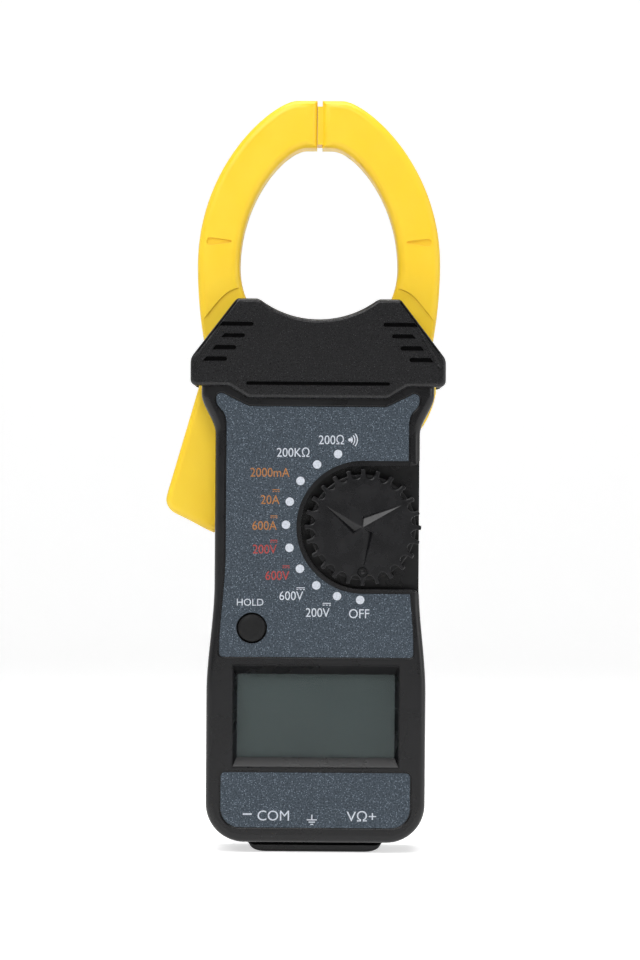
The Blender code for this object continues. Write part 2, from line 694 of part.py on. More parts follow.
def ring_piece(side, inset_by, half_y, z0, z1):
    """A stretch of the jaw's ring between two heights, inset from its outside."""
    piece = prism(flipped(jaw_outline(ring=inset_by), side)[::side], -half_y, half_y)
    return keep_inside(piece, box(*sorted((side * 12, side * FAR)), -FAR, FAR, z0, z1))


def jaw_shell(name, side, front, hinge):
    sign = -1 if front else 1
    face, split = sign * JAW_HALF_Y, sign * GAP / 2
    outline = flipped(jaw_outline(), side)[::side]
    edge = {"front": JAW_EDGE} if front else {"back": JAW_EDGE}
    shell = prism(outline, *sorted((face, split)), **edge)
    if side > 0:
        seam = SEAM_HALF - TONGUE_OUT
        join(shell, box(seam, SEAM_HALF + 3, *sorted((face - sign * 1.6, split)), *TONGUE_Z))
    hollow = jaw_outline(ring=JAW_WALL, leg=JAW_WALL, end=LEG_END_X + 1.4, seam=SEAM_HALF + 1.4)
    cut(shell, prism(flipped(hollow, side)[::side], *sorted((face - sign * JAW_WALL, -sign))))
    arm = sign * (ARM_HALF_Y + GAP)
    px = side * PIVOT_X
    hub_ends = sorted((face, arm))
    join(shell, rod("Y", px, PIVOT_Z, HUB_R, *hub_ends, 20))
    join(shell, box(px - HUB_R, px + HUB_R, *hub_ends, PIVOT_Z, LEG_Z[0] + 1))
    cut(shell, rod("Y", px, PIVOT_Z, PIN_R + 0.25, -FAR, FAR, 16))
    middle = (JAW_TOP_Z + WINDOW_TOP_Z) / 2
    half = (JAW_TOP_Z - WINDOW_TOP_Z) / 2 - CORE_INSET + GAP
    core_y = CORE_HALF_Y + GAP
    cut(shell, box(-4, 4, -core_y, core_y, middle - half, middle + half))
    leg_gap = CORE_LEG_INSET - GAP
    cut(shell, box(-4, 4, -core_y, core_y, LEG_Z[0] + leg_gap, LEG_Z[1] - leg_gap))
    return name_piece(name, shell, "yellow", hinge)


def jaw_core(name, side, hinge):
    """Laminated core: an iron hook whose ends meet those of the other jaw's core."""
    seam = 1.0 if side < 0 else -0.6
    outline = jaw_outline(ring=CORE_INSET, leg=CORE_LEG_INSET, end=0.2, seam=seam)
    core = prism(flipped(outline, side)[::side], -CORE_HALF_Y, CORE_HALF_Y)
    return name_piece(name, core, "iron", hinge)


def bobbin_and_coil(hand, side, hinge):
    low, high = COIL_Z
    tube = CORE_INSET - GAP
    sleeve = ring_piece(side, tube - 0.6, CORE_HALF_Y + GAP + 0.6, low, high)
    outer = JAW_WALL + GAP
    flange_y = JAW_HALF_Y - JAW_WALL - GAP
    join(sleeve, ring_piece(side, outer, flange_y, low, low + 1))
    join(sleeve, ring_piece(side, outer, flange_y, high - 1, high))
    cut(sleeve, ring_piece(side, tube, CORE_HALF_Y + GAP, low - 1, high + 1))
    name_piece(f"{hand}_bobbin", sleeve, "white", hinge)
    coil = ring_piece(side, outer + GAP, flange_y - GAP, low + 1 + GAP, high - 1 - GAP)
    room = tube - 0.6 - GAP
    cut(coil, ring_piece(side, room, CORE_HALF_Y + 2 * GAP + 0.6, low, high))
    name_piece(f"{hand}_coil", coil, "copper", hinge)


def lever_arm(side):
    """The flat arm from the pivot out to the side wall, with its spring seat below."""
    px = side * PIVOT_X
    top = LEG_Z[0] - GAP
    seat = side * SPRING_SEAT_X
    arm = rod("Y", px, PIVOT_Z, top - PIVOT_Z, -ARM_HALF_Y, ARM_HALF_Y, 20)
    low = PIVOT_Z - 3.6
    outline = [(PIVOT_X, low), (31.5, low), (31.5, top), (PIVOT_X, top)]
    join(arm, prism(flipped(outline, side)[::side], -ARM_HALF_Y, ARM_HALF_Y))
    strut = [(SPRING_SEAT_X, SPRING_Z - 3.4), (31.5, SPRING_Z - 3.4), (31.5, PIVOT_Z),
             (SPRING_SEAT_X, PIVOT_Z)]
    join(arm, prism(flipped(strut, side)[::side], -ARM_HALF_Y, ARM_HALF_Y))
    nose = sorted((seat - side * 3.0, seat + side))
    join(arm, rod("X", 0, SPRING_Z, SPRING_R - SPRING_WIRE_R - 0.4, *nose, 12))
    return cut(arm, rod("Y", px, PIVOT_Z, PIN_R + 0.25, -FAR, FAR, 16))


def trigger(hinge):
    """The finger lever on the left jaw."""
    top = LEG_Z[0] - GAP
    slope = Vector((-47.4 + 37.5, 111 - 146)).normalized()
    outline = [(-37.5, top), (-37.5, 146.0), (-47.4 - slope.x * 3, 111 - slope.y * 3)]
    outline += arc(-44.2, 108.9, 3.4, 166, 240, 4)
    outline += [(-39.4, 103.2), (-32.6, 99.9), (-29.8, 100.8), (-28.6, 104.0), (-28.6, top)]
    grip = prism(outline, -GRIP_HALF_Y, GRIP_HALF_Y, front=1.5, back=1.5)
    return name_piece("trigger", join(grip, lever_arm(-1)), "yellow", hinge)


def right_lever(hinge):
    """The right jaw's short lever, which only just shows beside the case."""
    top = LEG_Z[0] - GAP
    outline = [(28.6, 132.2), (31.2, 132.2), (33.6, 134.4)]
    outline += [(36.2, 140.0), (37.1, 143.5), (37.1, top), (28.6, top)]
    stub = prism(outline, -GRIP_HALF_Y, GRIP_HALF_Y, front=1.0, back=1.0, steps=1)
    return name_piece("right_lever", join(stub, lever_arm(1)), "yellow", hinge)


def gear_outline(side):
    """A sector of involute teeth that meets its mirror image at X = 0."""
    pitch_r = PIVOT_X
    module = 2 * pitch_r / GEAR_TEETH
    tip_r, root_r = pitch_r + module * 0.95, pitch_r - 1.25 * module
    base_r = pitch_r * cos(radians(20))
    slack = 0.12 / pitch_r
    half = pi / 2 / GEAR_TEETH - slack

    def spread(radius):
        pressure = acos(min(1.0, base_r / radius))
        return tan(pressure) - pressure

    reach = [max(base_r, root_r), pitch_r - module * 0.3, pitch_r + module * 0.35, tip_r]
    start = spread(pitch_r)
    flank = [(r, half + start - spread(r)) for r in reach]
    toward = 0.0 if side < 0 else pi
    shift = 0.0 if side < 0 else pi / GEAR_TEETH
    points = []
    for tooth in range(-2, 3):
        centre = toward + shift + tooth * 2 * pi / GEAR_TEETH
        points.append((root_r, centre - flank[0][1]))
        points += [(r, centre - a) for r, a in flank]
        points += [(r, centre + a) for r, a in reversed(flank)]
        points.append((root_r, centre + flank[0][1]))
    px = side * PIVOT_X
    polar = [(px + r * cos(a), PIVOT_Z + r * sin(a)) for r, a in points]
    first, last = points[0][1], points[-1][1]
    back = [(px + HUB_R * cos(a), PIVOT_Z + HUB_R * sin(a))
            for a in (last + (first + 2 * pi - last) * i / 10 for i in range(1, 10))]
    return polar + back


def sector_gear(name, side, hinge):
    near = JAW_HALF_Y + GAP
    gear = prism(gear_outline(side), near, near + GEAR_THICK)
    cut(gear, rod("Y", side * PIVOT_X, PIVOT_Z, PIN_R + 0.25, -FAR, FAR, 16))
    return name_piece(name, gear, "steel", hinge)


def jaws():
    for hand, side in (("left", -1), ("right", 1)):
        hinge = pivot(f"{hand}_jaw_pivot", side * PIVOT_X, 0, PIVOT_Z)
        jaw_shell(f"{hand}_jaw_front_shell", side, True, hinge)
        jaw_shell(f"{hand}_jaw_rear_shell", side, False, hinge)
        jaw_core(f"{hand}_core", side, hinge)
        bobbin_and_coil(hand, side, hinge)
        sector_gear(f"{hand}_sector_gear", side, hinge)
        if side < 0:
            trigger(hinge)
        else:
            right_lever(hinge)
        pin_back = CASE_BACK_Y - CASE_WALL - 1.3
        pin = rod("Y", side * PIVOT_X, PIVOT_Z, PIN_R, CASE_FRONT_Y + CASE_WALL + 1.3, pin_back, 16)
        name_piece(f"{hand}_pivot_pin", pin, "steel")


def jaw_spring():
    """Compression spring that pushes the two levers apart and so closes the jaws."""
    end = SPRING_SEAT_X - SPRING_WIRE_R - GAP
    turns, per_turn = 9, 10
    steps = turns * per_turn
    points = []
    for i in range(steps + 1):
        angle = 2 * pi * i / per_turn
        x = -end + 2 * end * i / steps
        points.append((x, SPRING_R * cos(angle), SPRING_Z + SPRING_R * sin(angle)))
    name_piece("jaw_spring", wire("jaw_spring", points, SPRING_WIRE_R), "steel")


# ---------------------------------------------------------------- selector and hold button

def knob_outline(radius, notch_r, teeth):
    """A toothed rim: ribs at the full radius, and between them arcs or round notches."""
    pitch = 2 * pi / teeth
    rib = 0.7 / radius
    points = []
    for i in range(teeth):
        a = pi / 2 + i * pitch
        points += [(radius, a - rib), (radius, a + rib), (KNOB_RIM_R, a + rib * 1.1)]
        points += [(notch_r, a + pitch * 0.34), (notch_r, a + pitch * 0.66)]
        points.append((KNOB_RIM_R, a + pitch - rib * 1.1))
    return [(KNOB_X + r * cos(a), KNOB_Z + r * sin(a)) for r, a in points]


def selector(spindle):
    top = CASE_FRONT_Y - KNOB_PROUD
    floor = CASE_FRONT_Y + WELL_DEPTH
    under = floor - 0.6
    knob = prism(knob_outline(KNOB_R, KNOB_RIM_R - 0.05, KNOB_TEETH), top + 2.5, under)
    join(knob, prism(knob_outline(KNOB_R, KNOB_NOTCH_R, KNOB_TEETH), top, top + 2.6, front=0.4,
                     steps=1))
    back = floor + WELL_WALL + GAP
    join(knob, rod("Y", KNOB_X, KNOB_Z, SHAFT_R, under - 1, back))
    balls = [(KNOB_X - DETENT_R, KNOB_Z), (KNOB_X + DETENT_R, KNOB_Z)]
    pocket_end = under - 5.5
    for x, z in balls:
        cut(knob, rod("Y", x, z, BALL_R + 0.3, pocket_end, under + 1, 16))
    dimple = rod("Y", KNOB_X, KNOB_Z - 14.0, 1.5, top - 1, top + 0.6, 16)
    name_piece("knob", cut(knob, dimple), "black", spindle)
    ball_y = floor - BALL_R - GAP
    coil_r = 1.1
    for number, (x, z) in enumerate(balls, 1):
        name_piece(f"detent_ball_{number}", ball(x, ball_y, z, BALL_R), "steel", spindle)
        low, high = pocket_end + 0.45, ball_y - BALL_R - 0.4
        points = [(x + coil_r * cos(a), low + (high - low) * a / (8 * pi), z + coil_r * sin(a))
                  for a in (pi * i / 4 for i in range(33))]
        spring = wire("spring", points, 0.2)
        name_piece(f"detent_spring_{number}", spring, "steel", spindle)
    rotor = rod("Y", KNOB_X, KNOB_Z, ROTOR_R, back + GAP, back + GAP + 1.2, 32)
    name_piece("switch_rotor", rotor, "white", spindle)
    blade_top, blade_low = back + 2 * GAP + 1.2, BOARD_Y[0] - GAP
    for number, radius in enumerate((6.0, 9.0, 12.0), 1):
        x = KNOB_X + radius * (-1 if number == 2 else 1)
        blade = bow(x, blade_top, blade_low, 6.0)
        name_piece(f"contact_{number}", blade, "copper", spindle)


def bow(x, near, far, length):
    """A bowed contact blade between the rotor and the board."""
    thick = 0.35
    side = []
    for i in range(9):
        t = -1 + i / 4
        side.append((t * length / 2, near + (far - near - thick) * (1 - cos(t * pi / 2))))
    bm = bmesh.new()
    loop = [(z, y) for z, y in side] + [(z, y + thick) for z, y in reversed(side)]
    verts = [bm.verts.new(((x - 0.6) * MM, y * MM, (KNOB_Z + z) * MM)) for z, y in loop]
    face = bm.faces.new(verts)
    grown = bmesh.ops.extrude_face_region(bm, geom=[face])
    moved = [v for v in grown["geom"] if isinstance(v, bmesh.types.BMVert)]
    bmesh.ops.translate(bm, verts=moved, vec=(1.2 * MM, 0, 0))
    return to_object("shape", bm)


def hold_button(slide):
    front = CASE_FRONT_Y - HOLD_PROUD
    wall_back = CASE_FRONT_Y + CASE_WALL
    press = CASE_FRONT_Y + HOLD_PROUD + 6.3
    button = rod("Y", HOLD_X, HOLD_Z, HOLD_R, front, wall_back + 1, 28)
    join(button, rod("Y", HOLD_X, HOLD_Z, HOLD_R + 1.4, wall_back + GAP, wall_back + 1.3, 28))
    join(button, rod("Y", HOLD_X, HOLD_Z, 2, wall_back + 1, press, 12))
    return name_piece("hold_button", button, "rubber", slide)


def main():
    for old in list(bpy.data.objects):
        bpy.data.objects.remove(old)
    front_case()
    rear_case()
    guard("front_guard", True)
    guard("rear_guard", False)
    labels()
    display()
    board()
    battery()
    battery_door(pivot("battery_door_slide", 0, CASE_BACK_Y, (DOOR_Z[0] + DOOR_Z[1]) / 2))
    case_screws()
    sockets()
    jaws()
    jaw_spring()
    selector(pivot("selector_spindle", KNOB_X, CASE_FRONT_Y, KNOB_Z))
    hold_button(pivot("hold_button_slide", HOLD_X, CASE_FRONT_Y, HOLD_Z))


main()
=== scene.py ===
"""Looks of a clamp meter: moulded shells, printed labels, knob and display over its fixed frame.

Lengths in the design are in millimetres and are made metres by MM. The display faces -Y.
"""
import json
from math import asin, cos, degrees, pi, radians, sin, sqrt

import bmesh
import bpy
from mathutils import Matrix, Vector


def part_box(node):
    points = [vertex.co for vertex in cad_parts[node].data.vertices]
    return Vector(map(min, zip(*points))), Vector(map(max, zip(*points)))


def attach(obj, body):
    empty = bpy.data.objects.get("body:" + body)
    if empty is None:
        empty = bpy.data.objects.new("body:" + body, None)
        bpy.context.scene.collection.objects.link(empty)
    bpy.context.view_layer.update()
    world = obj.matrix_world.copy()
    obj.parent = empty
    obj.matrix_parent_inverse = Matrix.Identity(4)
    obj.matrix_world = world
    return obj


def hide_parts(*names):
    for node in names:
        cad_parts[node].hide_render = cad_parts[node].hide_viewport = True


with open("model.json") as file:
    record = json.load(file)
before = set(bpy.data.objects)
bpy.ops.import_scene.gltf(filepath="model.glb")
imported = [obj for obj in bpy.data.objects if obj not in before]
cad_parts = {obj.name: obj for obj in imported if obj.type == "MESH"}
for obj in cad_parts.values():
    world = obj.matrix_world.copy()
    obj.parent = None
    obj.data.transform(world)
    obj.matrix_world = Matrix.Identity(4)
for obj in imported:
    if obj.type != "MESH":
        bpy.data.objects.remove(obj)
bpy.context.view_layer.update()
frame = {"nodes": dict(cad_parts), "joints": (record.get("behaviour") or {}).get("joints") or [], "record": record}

MM = 0.001
FAR = 60.0           # reach of a cutter that passes right through


# ---------------------------------------------------------------- places read from the frame

def span(node):
    """A node's lowest and highest corners in millimetres."""
    low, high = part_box(node)
    return low / MM, high / MM


FRONT_Y = span("front_case")[0].y
BACK_Y = span("rear_case")[1].y
PARTING = 0.02       # half the gap between the case halves and between the jaws' shells
GUARD_FRONT_Y = span("front_guard")[0].y
GUARD_BACK_Y = span("rear_guard")[1].y
BASE_Z = span("front_case")[0].z
GUARD_LOW_Z, GUARD_TOP_Z = span("front_guard")[0].z, span("front_guard")[1].z
GUARD_HALF = span("front_guard")[1].x
SHOULDER_HALF = span("front_case")[1].x
JAW_HALF_Y = -span("left_jaw_front_shell")[0].y
JAW_TOP_Z = span("left_jaw_front_shell")[1].z
KNOB_LOW, KNOB_HIGH = span("knob")
KNOB_X = (KNOB_LOW.x + KNOB_HIGH.x) / 2
KNOB_Z = (KNOB_LOW.z + KNOB_HIGH.z) / 2
KNOB_R = (KNOB_HIGH.x - KNOB_LOW.x) / 2
HOLD_X = (span("hold_button")[0].x + span("hold_button")[1].x) / 2
HOLD_Z = (span("hold_button")[0].z + span("hold_button")[1].z) / 2
LABEL_Y = span("upper_label")[0].y
LABEL_THICK = span("upper_label")[1].y - LABEL_Y
FOOT_HALF = span("socket_block")[1].x
JOINTS = {joint["name"]: joint for joint in frame["joints"]}
PIVOT_X = JOINTS["right_jaw_hinge"]["pos_m"][0] / MM
PIVOT_Z = JOINTS["right_jaw_hinge"]["pos_m"][2] / MM


# ---------------------------------------------------------------- outlines in the XZ plane

def arc(cx, cz, radius, start, end, steps):
    """Points on an arc from one angle to another, in degrees, both ends included."""
    turn = (end - start) / steps
    angles = [radians(start + turn * i) for i in range(steps + 1)]
    return [(cx + radius * cos(a), cz + radius * sin(a)) for a in angles]


def bezier(p0, p1, p2, p3, steps):
    points = []
    for i in range(steps + 1):
        t = i / steps
        w = ((1 - t) ** 3, 3 * t * (1 - t) ** 2, 3 * t * t * (1 - t), t ** 3)
        points.append(tuple(sum(k * p[n] for k, p in zip(w, (p0, p1, p2, p3))) for n in (0, 1)))
    return points


def s_curve(x0, z0, x1, z1, steps):
    """A smooth step between two vertical stretches."""
    points = []
    for i in range(steps + 1):
        t = i / steps
        points.append((x0 + (x1 - x0) * t * t * (3 - 2 * t), z0 + (z1 - z0) * t))
    return points


def mirrored(half):
    """A whole outline from its right half, which runs from the bottom up."""
    return half + [(-x, z) for x, z in reversed(half) if abs(x) > 1e-6]


def flipped(outline, side):
    """The outline as it is on the right side (+1), or its mirror image on the left (-1)."""
    return [(side * x, z) for x, z in outline][::side]


def inset(outline, distance):
    """A counter-clockwise outline moved inwards by a distance."""
    result = []
    count = len(outline)
    for i in range(count):
        (ax, az), (bx, bz), (cx, cz) = outline[i - 1], outline[i], outline[(i + 1) % count]
        u = Vector((bx - ax, bz - az)).normalized()
        v = Vector((cx - bx, cz - bz)).normalized()
        n = Vector((-u.y - v.y, u.x + v.x)).normalized()
        reach = distance / max(0.3, n.dot(Vector((-u.y, u.x))))
        result.append((bx + n.x * reach, bz + n.y * reach))
    return result


def rounded_box(x0, x1, z0, z1, radius, steps=6):
    points = []
    corners = ((x1, z0, -1, 1, -90), (x1, z1, -1, -1, 0), (x0, z1, 1, -1, 90), (x0, z0, 1, 1, 180))
    for x, z, sx, sz, start in corners:
        points += arc(x + sx * radius, z + sz * radius, radius, start, start + 90, steps)
    return points


DIP_R = 30.4
DIP_Z = 166.9 + DIP_R
SLANT_FOOT = (38.6, 156.3)
SLANT_HEAD = (25.6, GUARD_TOP_Z)


def guard_half(corner=2.0):
    """Right half of the guard's outline, from the bottom centre to the dip."""
    dip_angle = degrees(asin(18.0 / DIP_R))
    points = [(0, GUARD_LOW_Z), (21.4, GUARD_LOW_Z), (22.0, GUARD_LOW_Z + 0.16)]
    points += [(27.6, 145.7), (28.4, 145.9)]
    if corner:
        points += arc(GUARD_HALF - corner, 145.9 + corner, corner, -90, 0, 6)
    else:
        points.append((GUARD_HALF, 145.9))
    if corner:
        points += bezier((GUARD_HALF, 153.0), (GUARD_HALF, 154.6), (39.4, 155.3), (38.2, 156.83), 8)
    else:
        points += [(GUARD_HALF, 154.5), SLANT_FOOT]
    points += [(26.0, GUARD_TOP_Z - 0.53), (25.2, GUARD_TOP_Z), (19.2, GUARD_TOP_Z)]
    return points + arc(0, DIP_Z, DIP_R, dip_angle - 90, -90, 22)


def case_half():
    """Right half of the case's outline; its head follows the guard's inside."""
    step = 2.0
    top_z = GUARD_TOP_Z - step
    slant = Vector((SLANT_HEAD[0] - SLANT_FOOT[0], SLANT_HEAD[1] - SLANT_FOOT[1])).normalized()
    foot = Vector((SLANT_FOOT[0] - step * slant.y, SLANT_FOOT[1] + step * slant.x))
    shoulder_top = foot.y + slant.y * (SHOULDER_HALF - foot.x) / slant.x
    crown_x = foot.x + slant.x * (top_z - foot.y) / slant.y
    dip_r = DIP_R + step
    dip_x = sqrt(dip_r ** 2 - (DIP_Z - top_z) ** 2)
    points = [(0, BASE_Z)]
    points += arc(34.3 - 12, BASE_Z + 12, 12, -90, 0, 18)
    points += s_curve(34.3, 50, 32.0, 84, 18)
    points += s_curve(32.0, 131, SHOULDER_HALF, 143.5, 12)
    points += [(SHOULDER_HALF, shoulder_top), (crown_x, top_z)]
    return points + arc(0, DIP_Z, dip_r, degrees(asin(dip_x / dip_r)) - 90, -90, 14)


def jaw_outline(ring=0.0, leg=0.0, end=0.5, seam=0.8):
    """The right jaw's outline, its ring and its leg inset by amounts."""
    low, high = 150.0 + leg, 161.0 - leg
    side_r, wide_z = 137.0 - ring, 184.2
    out_x = 38.15
    corner = asin((155.0 - wide_z) / side_r)
    points = [(end, low), (31.5 - ring, low)]
    points += arc(out_x - 137.0, wide_z, side_r, degrees(corner), -0.6, 16)
    points += bezier((out_x - ring, wide_z), (out_x - ring, wide_z + 0.62 * (JAW_TOP_Z - wide_z)),
                     (14.5, JAW_TOP_Z - ring), (7, JAW_TOP_Z - ring), 36)
    top = 221.0 + ring
    points += [(seam, JAW_TOP_Z - ring), (seam, top)]
    wide = 24.85 + ring
    points += bezier((4, top), (10.7, top), (wide, 183.6 + 0.58 * (221.0 - 183.6)),
                     (wide, 183.6), 30)
    low_r = 25.0 + ring
    drop = degrees(asin((183.6 - high) / low_r))
    points += arc(-0.15, 183.6, low_r, -2, -drop, 18)
    return points + [(end, high)]


def upper_label_half(grow=0.0):
    points = [(0, 61.3)] + arc(30.3 - 1.2, 61.3 + 1.2, 1.2, -90, 0, 6)
    points += s_curve(30.3, 63.5, 28.5, 93.0, 10) + [(28.5, 133.5)]
    points += bezier((28.5, 134.5), (28.7, 139.0), (31.8, 138.6), (31.8, 142.0), 10)
    points += arc(30.2, 142.1, 1.6, 5, 110, 8)
    return points + [(28.9, 143.2), (21.9, 139.8), (21.3, 139.6), (0, 139.6)]


def lower_label_half():
    half = [(0, 8.0)] + arc(29.6 - 6, 8.0 + 6, 6, -90, 0, 10)
    return half + arc(29.6 - 1.4, 25.2 - 1.4, 1.4, 0, 90, 5) + [(0, 25.2)]


def well_outline(radius, reach, fillet=0.0):
    """Round on the left and open to the right, as the knob's well and its label cut-out are."""
    points = arc(KNOB_X, KNOB_Z, radius, 90, 270, 60)
    if fillet:
        edge = reach - fillet
        low, high = KNOB_Z - radius, KNOB_Z + radius
        points += arc(edge, low - fillet, fillet, 90, 20, 6)
        points += [(FAR, low - fillet), (FAR, high + fillet)]
        return points + arc(edge, high + fillet, fillet, -20, -90, 6)
    return points + [(reach, KNOB_Z - radius), (reach, KNOB_Z + radius)]


# ---------------------------------------------------------------- solids

def to_object(bm, name="shape"):
    bmesh.ops.recalc_face_normals(bm, faces=bm.faces)
    mesh = bpy.data.meshes.new(name)
    bm.to_mesh(mesh)
    bm.free()
    piece = bpy.data.objects.new(name, mesh)
    bpy.context.scene.collection.objects.link(piece)
    return piece


def prism(outline, y0, y1, front=0.0, back=0.0, steps=4, profile=0.5):
    """An outline in the XZ plane extruded along Y, with its end edges rounded."""
    bm = bmesh.new()
    ring = [bm.verts.new((x * MM, y0 * MM, z * MM)) for x, z in outline]
    grown = bmesh.ops.extrude_face_region(bm, geom=[bm.faces.new(ring)])
    verts = [v for v in grown["geom"] if isinstance(v, bmesh.types.BMVert)]
    bmesh.ops.translate(bm, verts=verts, vec=(0, (y1 - y0) * MM, 0))
    for y, width in ((y0, front), (y1, back)):
        if width:
            level = y * MM
            rim = [e for e in bm.edges if all(abs(v.co.y - level) < 1e-7 for v in e.verts)]
            bmesh.ops.bevel(bm, geom=rim, offset=width * MM, offset_type="OFFSET",
                            profile=profile, segments=steps, affect="EDGES", material=-1)
    return to_object(bm)


def box(x0, x1, y0, y1, z0, z1):
    return prism([(x0, z0), (x1, z0), (x1, z1), (x0, z1)], y0, y1)


def rod(axis, a, b, radius, low, high, sides=40, edge=0.0, steps=3):
    """A cylinder along an axis, its end edges rounded; a and b are its other coordinates."""
    bm = bmesh.new()
    bmesh.ops.create_cone(bm, cap_ends=True, segments=sides, radius1=radius * MM,
                          radius2=radius * MM, depth=(high - low) * MM)
    if edge:
        rims = [e for e in bm.edges if len({round(v.co.z, 9) for v in e.verts}) == 1]
        bmesh.ops.bevel(bm, geom=rims, offset=edge * MM, offset_type="OFFSET", profile=0.5,
                        segments=steps, affect="EDGES", material=-1)
    middle = (low + high) / 2
    turns = {"X": (pi / 2, "Y", (middle, a, b)), "Y": (pi / 2, "X", (a, middle, b)),
             "Z": (0, "Z", (a, b, middle))}
    angle, about, place = turns[axis]
    matrix = Matrix.Translation(Vector(place) * MM) @ Matrix.Rotation(angle, 4, about)
    bmesh.ops.transform(bm, matrix=matrix, verts=bm.verts)
    return to_object(bm)


def turned(profile, x, z, steps=48):
    """A profile of (radius, y) points turned about an axis along Y."""
    bm = bmesh.new()
    verts = [bm.verts.new(((x + r) * MM, y * MM, z * MM)) for r, y in profile]
    edges = [bm.edges.new(pair) for pair in zip(verts, verts[1:])]
    bmesh.ops.spin(bm, geom=verts + edges, cent=Vector((x, 0, z)) * MM, axis=(0, 1, 0),
                   angle=2 * pi, steps=steps, use_merge=True)
    bmesh.ops.remove_doubles(bm, verts=bm.verts, dist=1e-7)
    return to_object(bm)


def frustum(front, y0, back, y1):
    """A tapered block between two rectangles (x0, x1, z0, z1)."""
    bm = bmesh.new()
    loops = []
    for (x0, x1, z0, z1), y in ((front, y0), (back, y1)):
        corners = ((x0, z0), (x1, z0), (x1, z1), (x0, z1))
        verts = [bm.verts.new((x * MM, y * MM, z * MM)) for x, z in corners]
        loops.append(bm.faces.new(verts))
    bmesh.ops.bridge_loops(bm, edges=[e for face in loops for e in face.edges])
    return to_object(bm)


def boolean(target, tool, operation):
    change = target.modifiers.new("Boolean", "BOOLEAN")
    change.operation = operation
    change.solver = "EXACT"
    change.object = tool
    graph = bpy.context.evaluated_depsgraph_get()
    graph.update()
    mesh = bpy.data.meshes.new_from_object(target.evaluated_get(graph))
    target.modifiers.clear()
    target.data = mesh
    bpy.data.objects.remove(tool)
    return target


def cut(target, *tools):
    for tool in tools:
        boolean(target, tool, "DIFFERENCE")
    return target


def join(target, *tools):
    for tool in tools:
        boolean(target, tool, "UNION")
    return target


def gathered(name, pieces):
    """Several separate pieces as one object."""
    bm = bmesh.new()
    for piece in pieces:
        bm.from_mesh(piece.data)
        bpy.data.objects.remove(piece)
    return to_object(bm, name)


def finish_piece(piece, name, body, slot, look, *nodes, angle=32):
    """Names and shades a finished piece, and fixes it to its body."""
    piece.name = name
    piece.data.name = name
    piece.data.materials.clear()
    piece.data.materials.append(look)
    piece.data.shade_smooth()
    piece.data.set_sharp_from_angle(angle=radians(angle))
    level = piece.modifiers.new("Flat faces", "WEIGHTED_NORMAL")
    level.keep_sharp = True
    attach(piece, body)
    if nodes:
        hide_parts(*nodes)
    return piece


# ---------------------------------------------------------------- materials

def linear(code):
    """An sRGB hex colour as linear light."""
    channels = [int(code[i:i + 2], 16) / 255 for i in (1, 3, 5)]
    return tuple(c / 12.92 if c <= 0.04045 else ((c + 0.055) / 1.055) ** 2.4
                 for c in channels) + (1.0,)


def add(tree, kind, settings=None, **links):
    """Adds a node with its settings and links; a link's name is the input's, with _ for a space."""
    node = tree.nodes.new(kind)
    for key, value in (settings or {}).items():
        if isinstance(key, str) and hasattr(node, key):
            setattr(node, key, value)
        else:
            node.inputs[key].default_value = value
    for key, source in links.items():
        place = int(key[2:]) if key.startswith("in") and key[2:].isdigit() else key.replace("_", " ")
        tree.links.new(source, node.inputs[place])
    return node


def start(name, colour, rough, metallic=0.0, **more):
    """A Principled material; returns it with its tree, shader and Object coordinates."""
    made = bpy.data.materials.new(name)
    made.use_nodes = True
    tree = made.node_tree
    shader = tree.nodes["Principled BSDF"]
    shader.inputs["Base Color"].default_value = linear(colour)
    shader.inputs["Roughness"].default_value = rough
    shader.inputs["Metallic"].default_value = metallic
    for key, value in more.items():
        shader.inputs[key.replace("_", " ")].default_value = value
    where = add(tree, "ShaderNodeTexCoord").outputs["Object"]
    return made, tree, shader, where


def noise(tree, where, size, detail=2.0, rough=0.5):
    """Noise whose features are about this many millimetres across."""
    settings = {"Scale": 1 / (size * MM), "Detail": detail, "Roughness": rough}
    return add(tree, "ShaderNodeTexNoise", settings, Vector=where).outputs["Fac"]


def ramp(tree, value, low, high, from_colour, to_colour):
    """A colour that goes from one to the other as a value goes from low to high."""
    node = add(tree, "ShaderNodeValToRGB", None, Fac=value)
    first, last = node.color_ramp.elements
    first.position, last.position = low, high
    first.color, last.color = linear(from_colour), linear(to_colour)
    return node.outputs["Color"]


def spread(tree, value, low, high, to_low, to_high):
    settings = {"From Min": low, "From Max": high, "To Min": to_low, "To Max": to_high}
    return add(tree, "ShaderNodeMapRange", settings, Value=value).outputs["Result"]


def bump(tree, shader, height, depth, strength=1.0):
    """Bump from a height of 0 to 1 that stands for a depth in millimetres."""
    settings = {"Strength": strength, "Distance": depth * MM}
    node = add(tree, "ShaderNodeBump", settings, Height=height)
    tree.links.new(node.outputs["Normal"], shader.inputs["Normal"])


def satin_black_abs():
    """Moulded ABS from a polished tool: near black, satin, with faint flow marks and dust."""
    made, tree, shader, where = start("satin_black_abs", "#0D0D0F", 0.27, IOR=1.53,
                                      Specular_IOR_Level=0.3)
    flow = noise(tree, where, 9.0, 3.0)
    colour = ramp(tree, flow, 0.3, 0.75, "#0B0B0D", "#121214")
    tree.links.new(colour, shader.inputs["Base Color"])
    tree.links.new(spread(tree, flow, 0.3, 0.7, 0.24, 0.32), shader.inputs["Roughness"])
    bump(tree, shader, noise(tree, where, 0.4, 2.0), 0.03, 0.7)
    return made


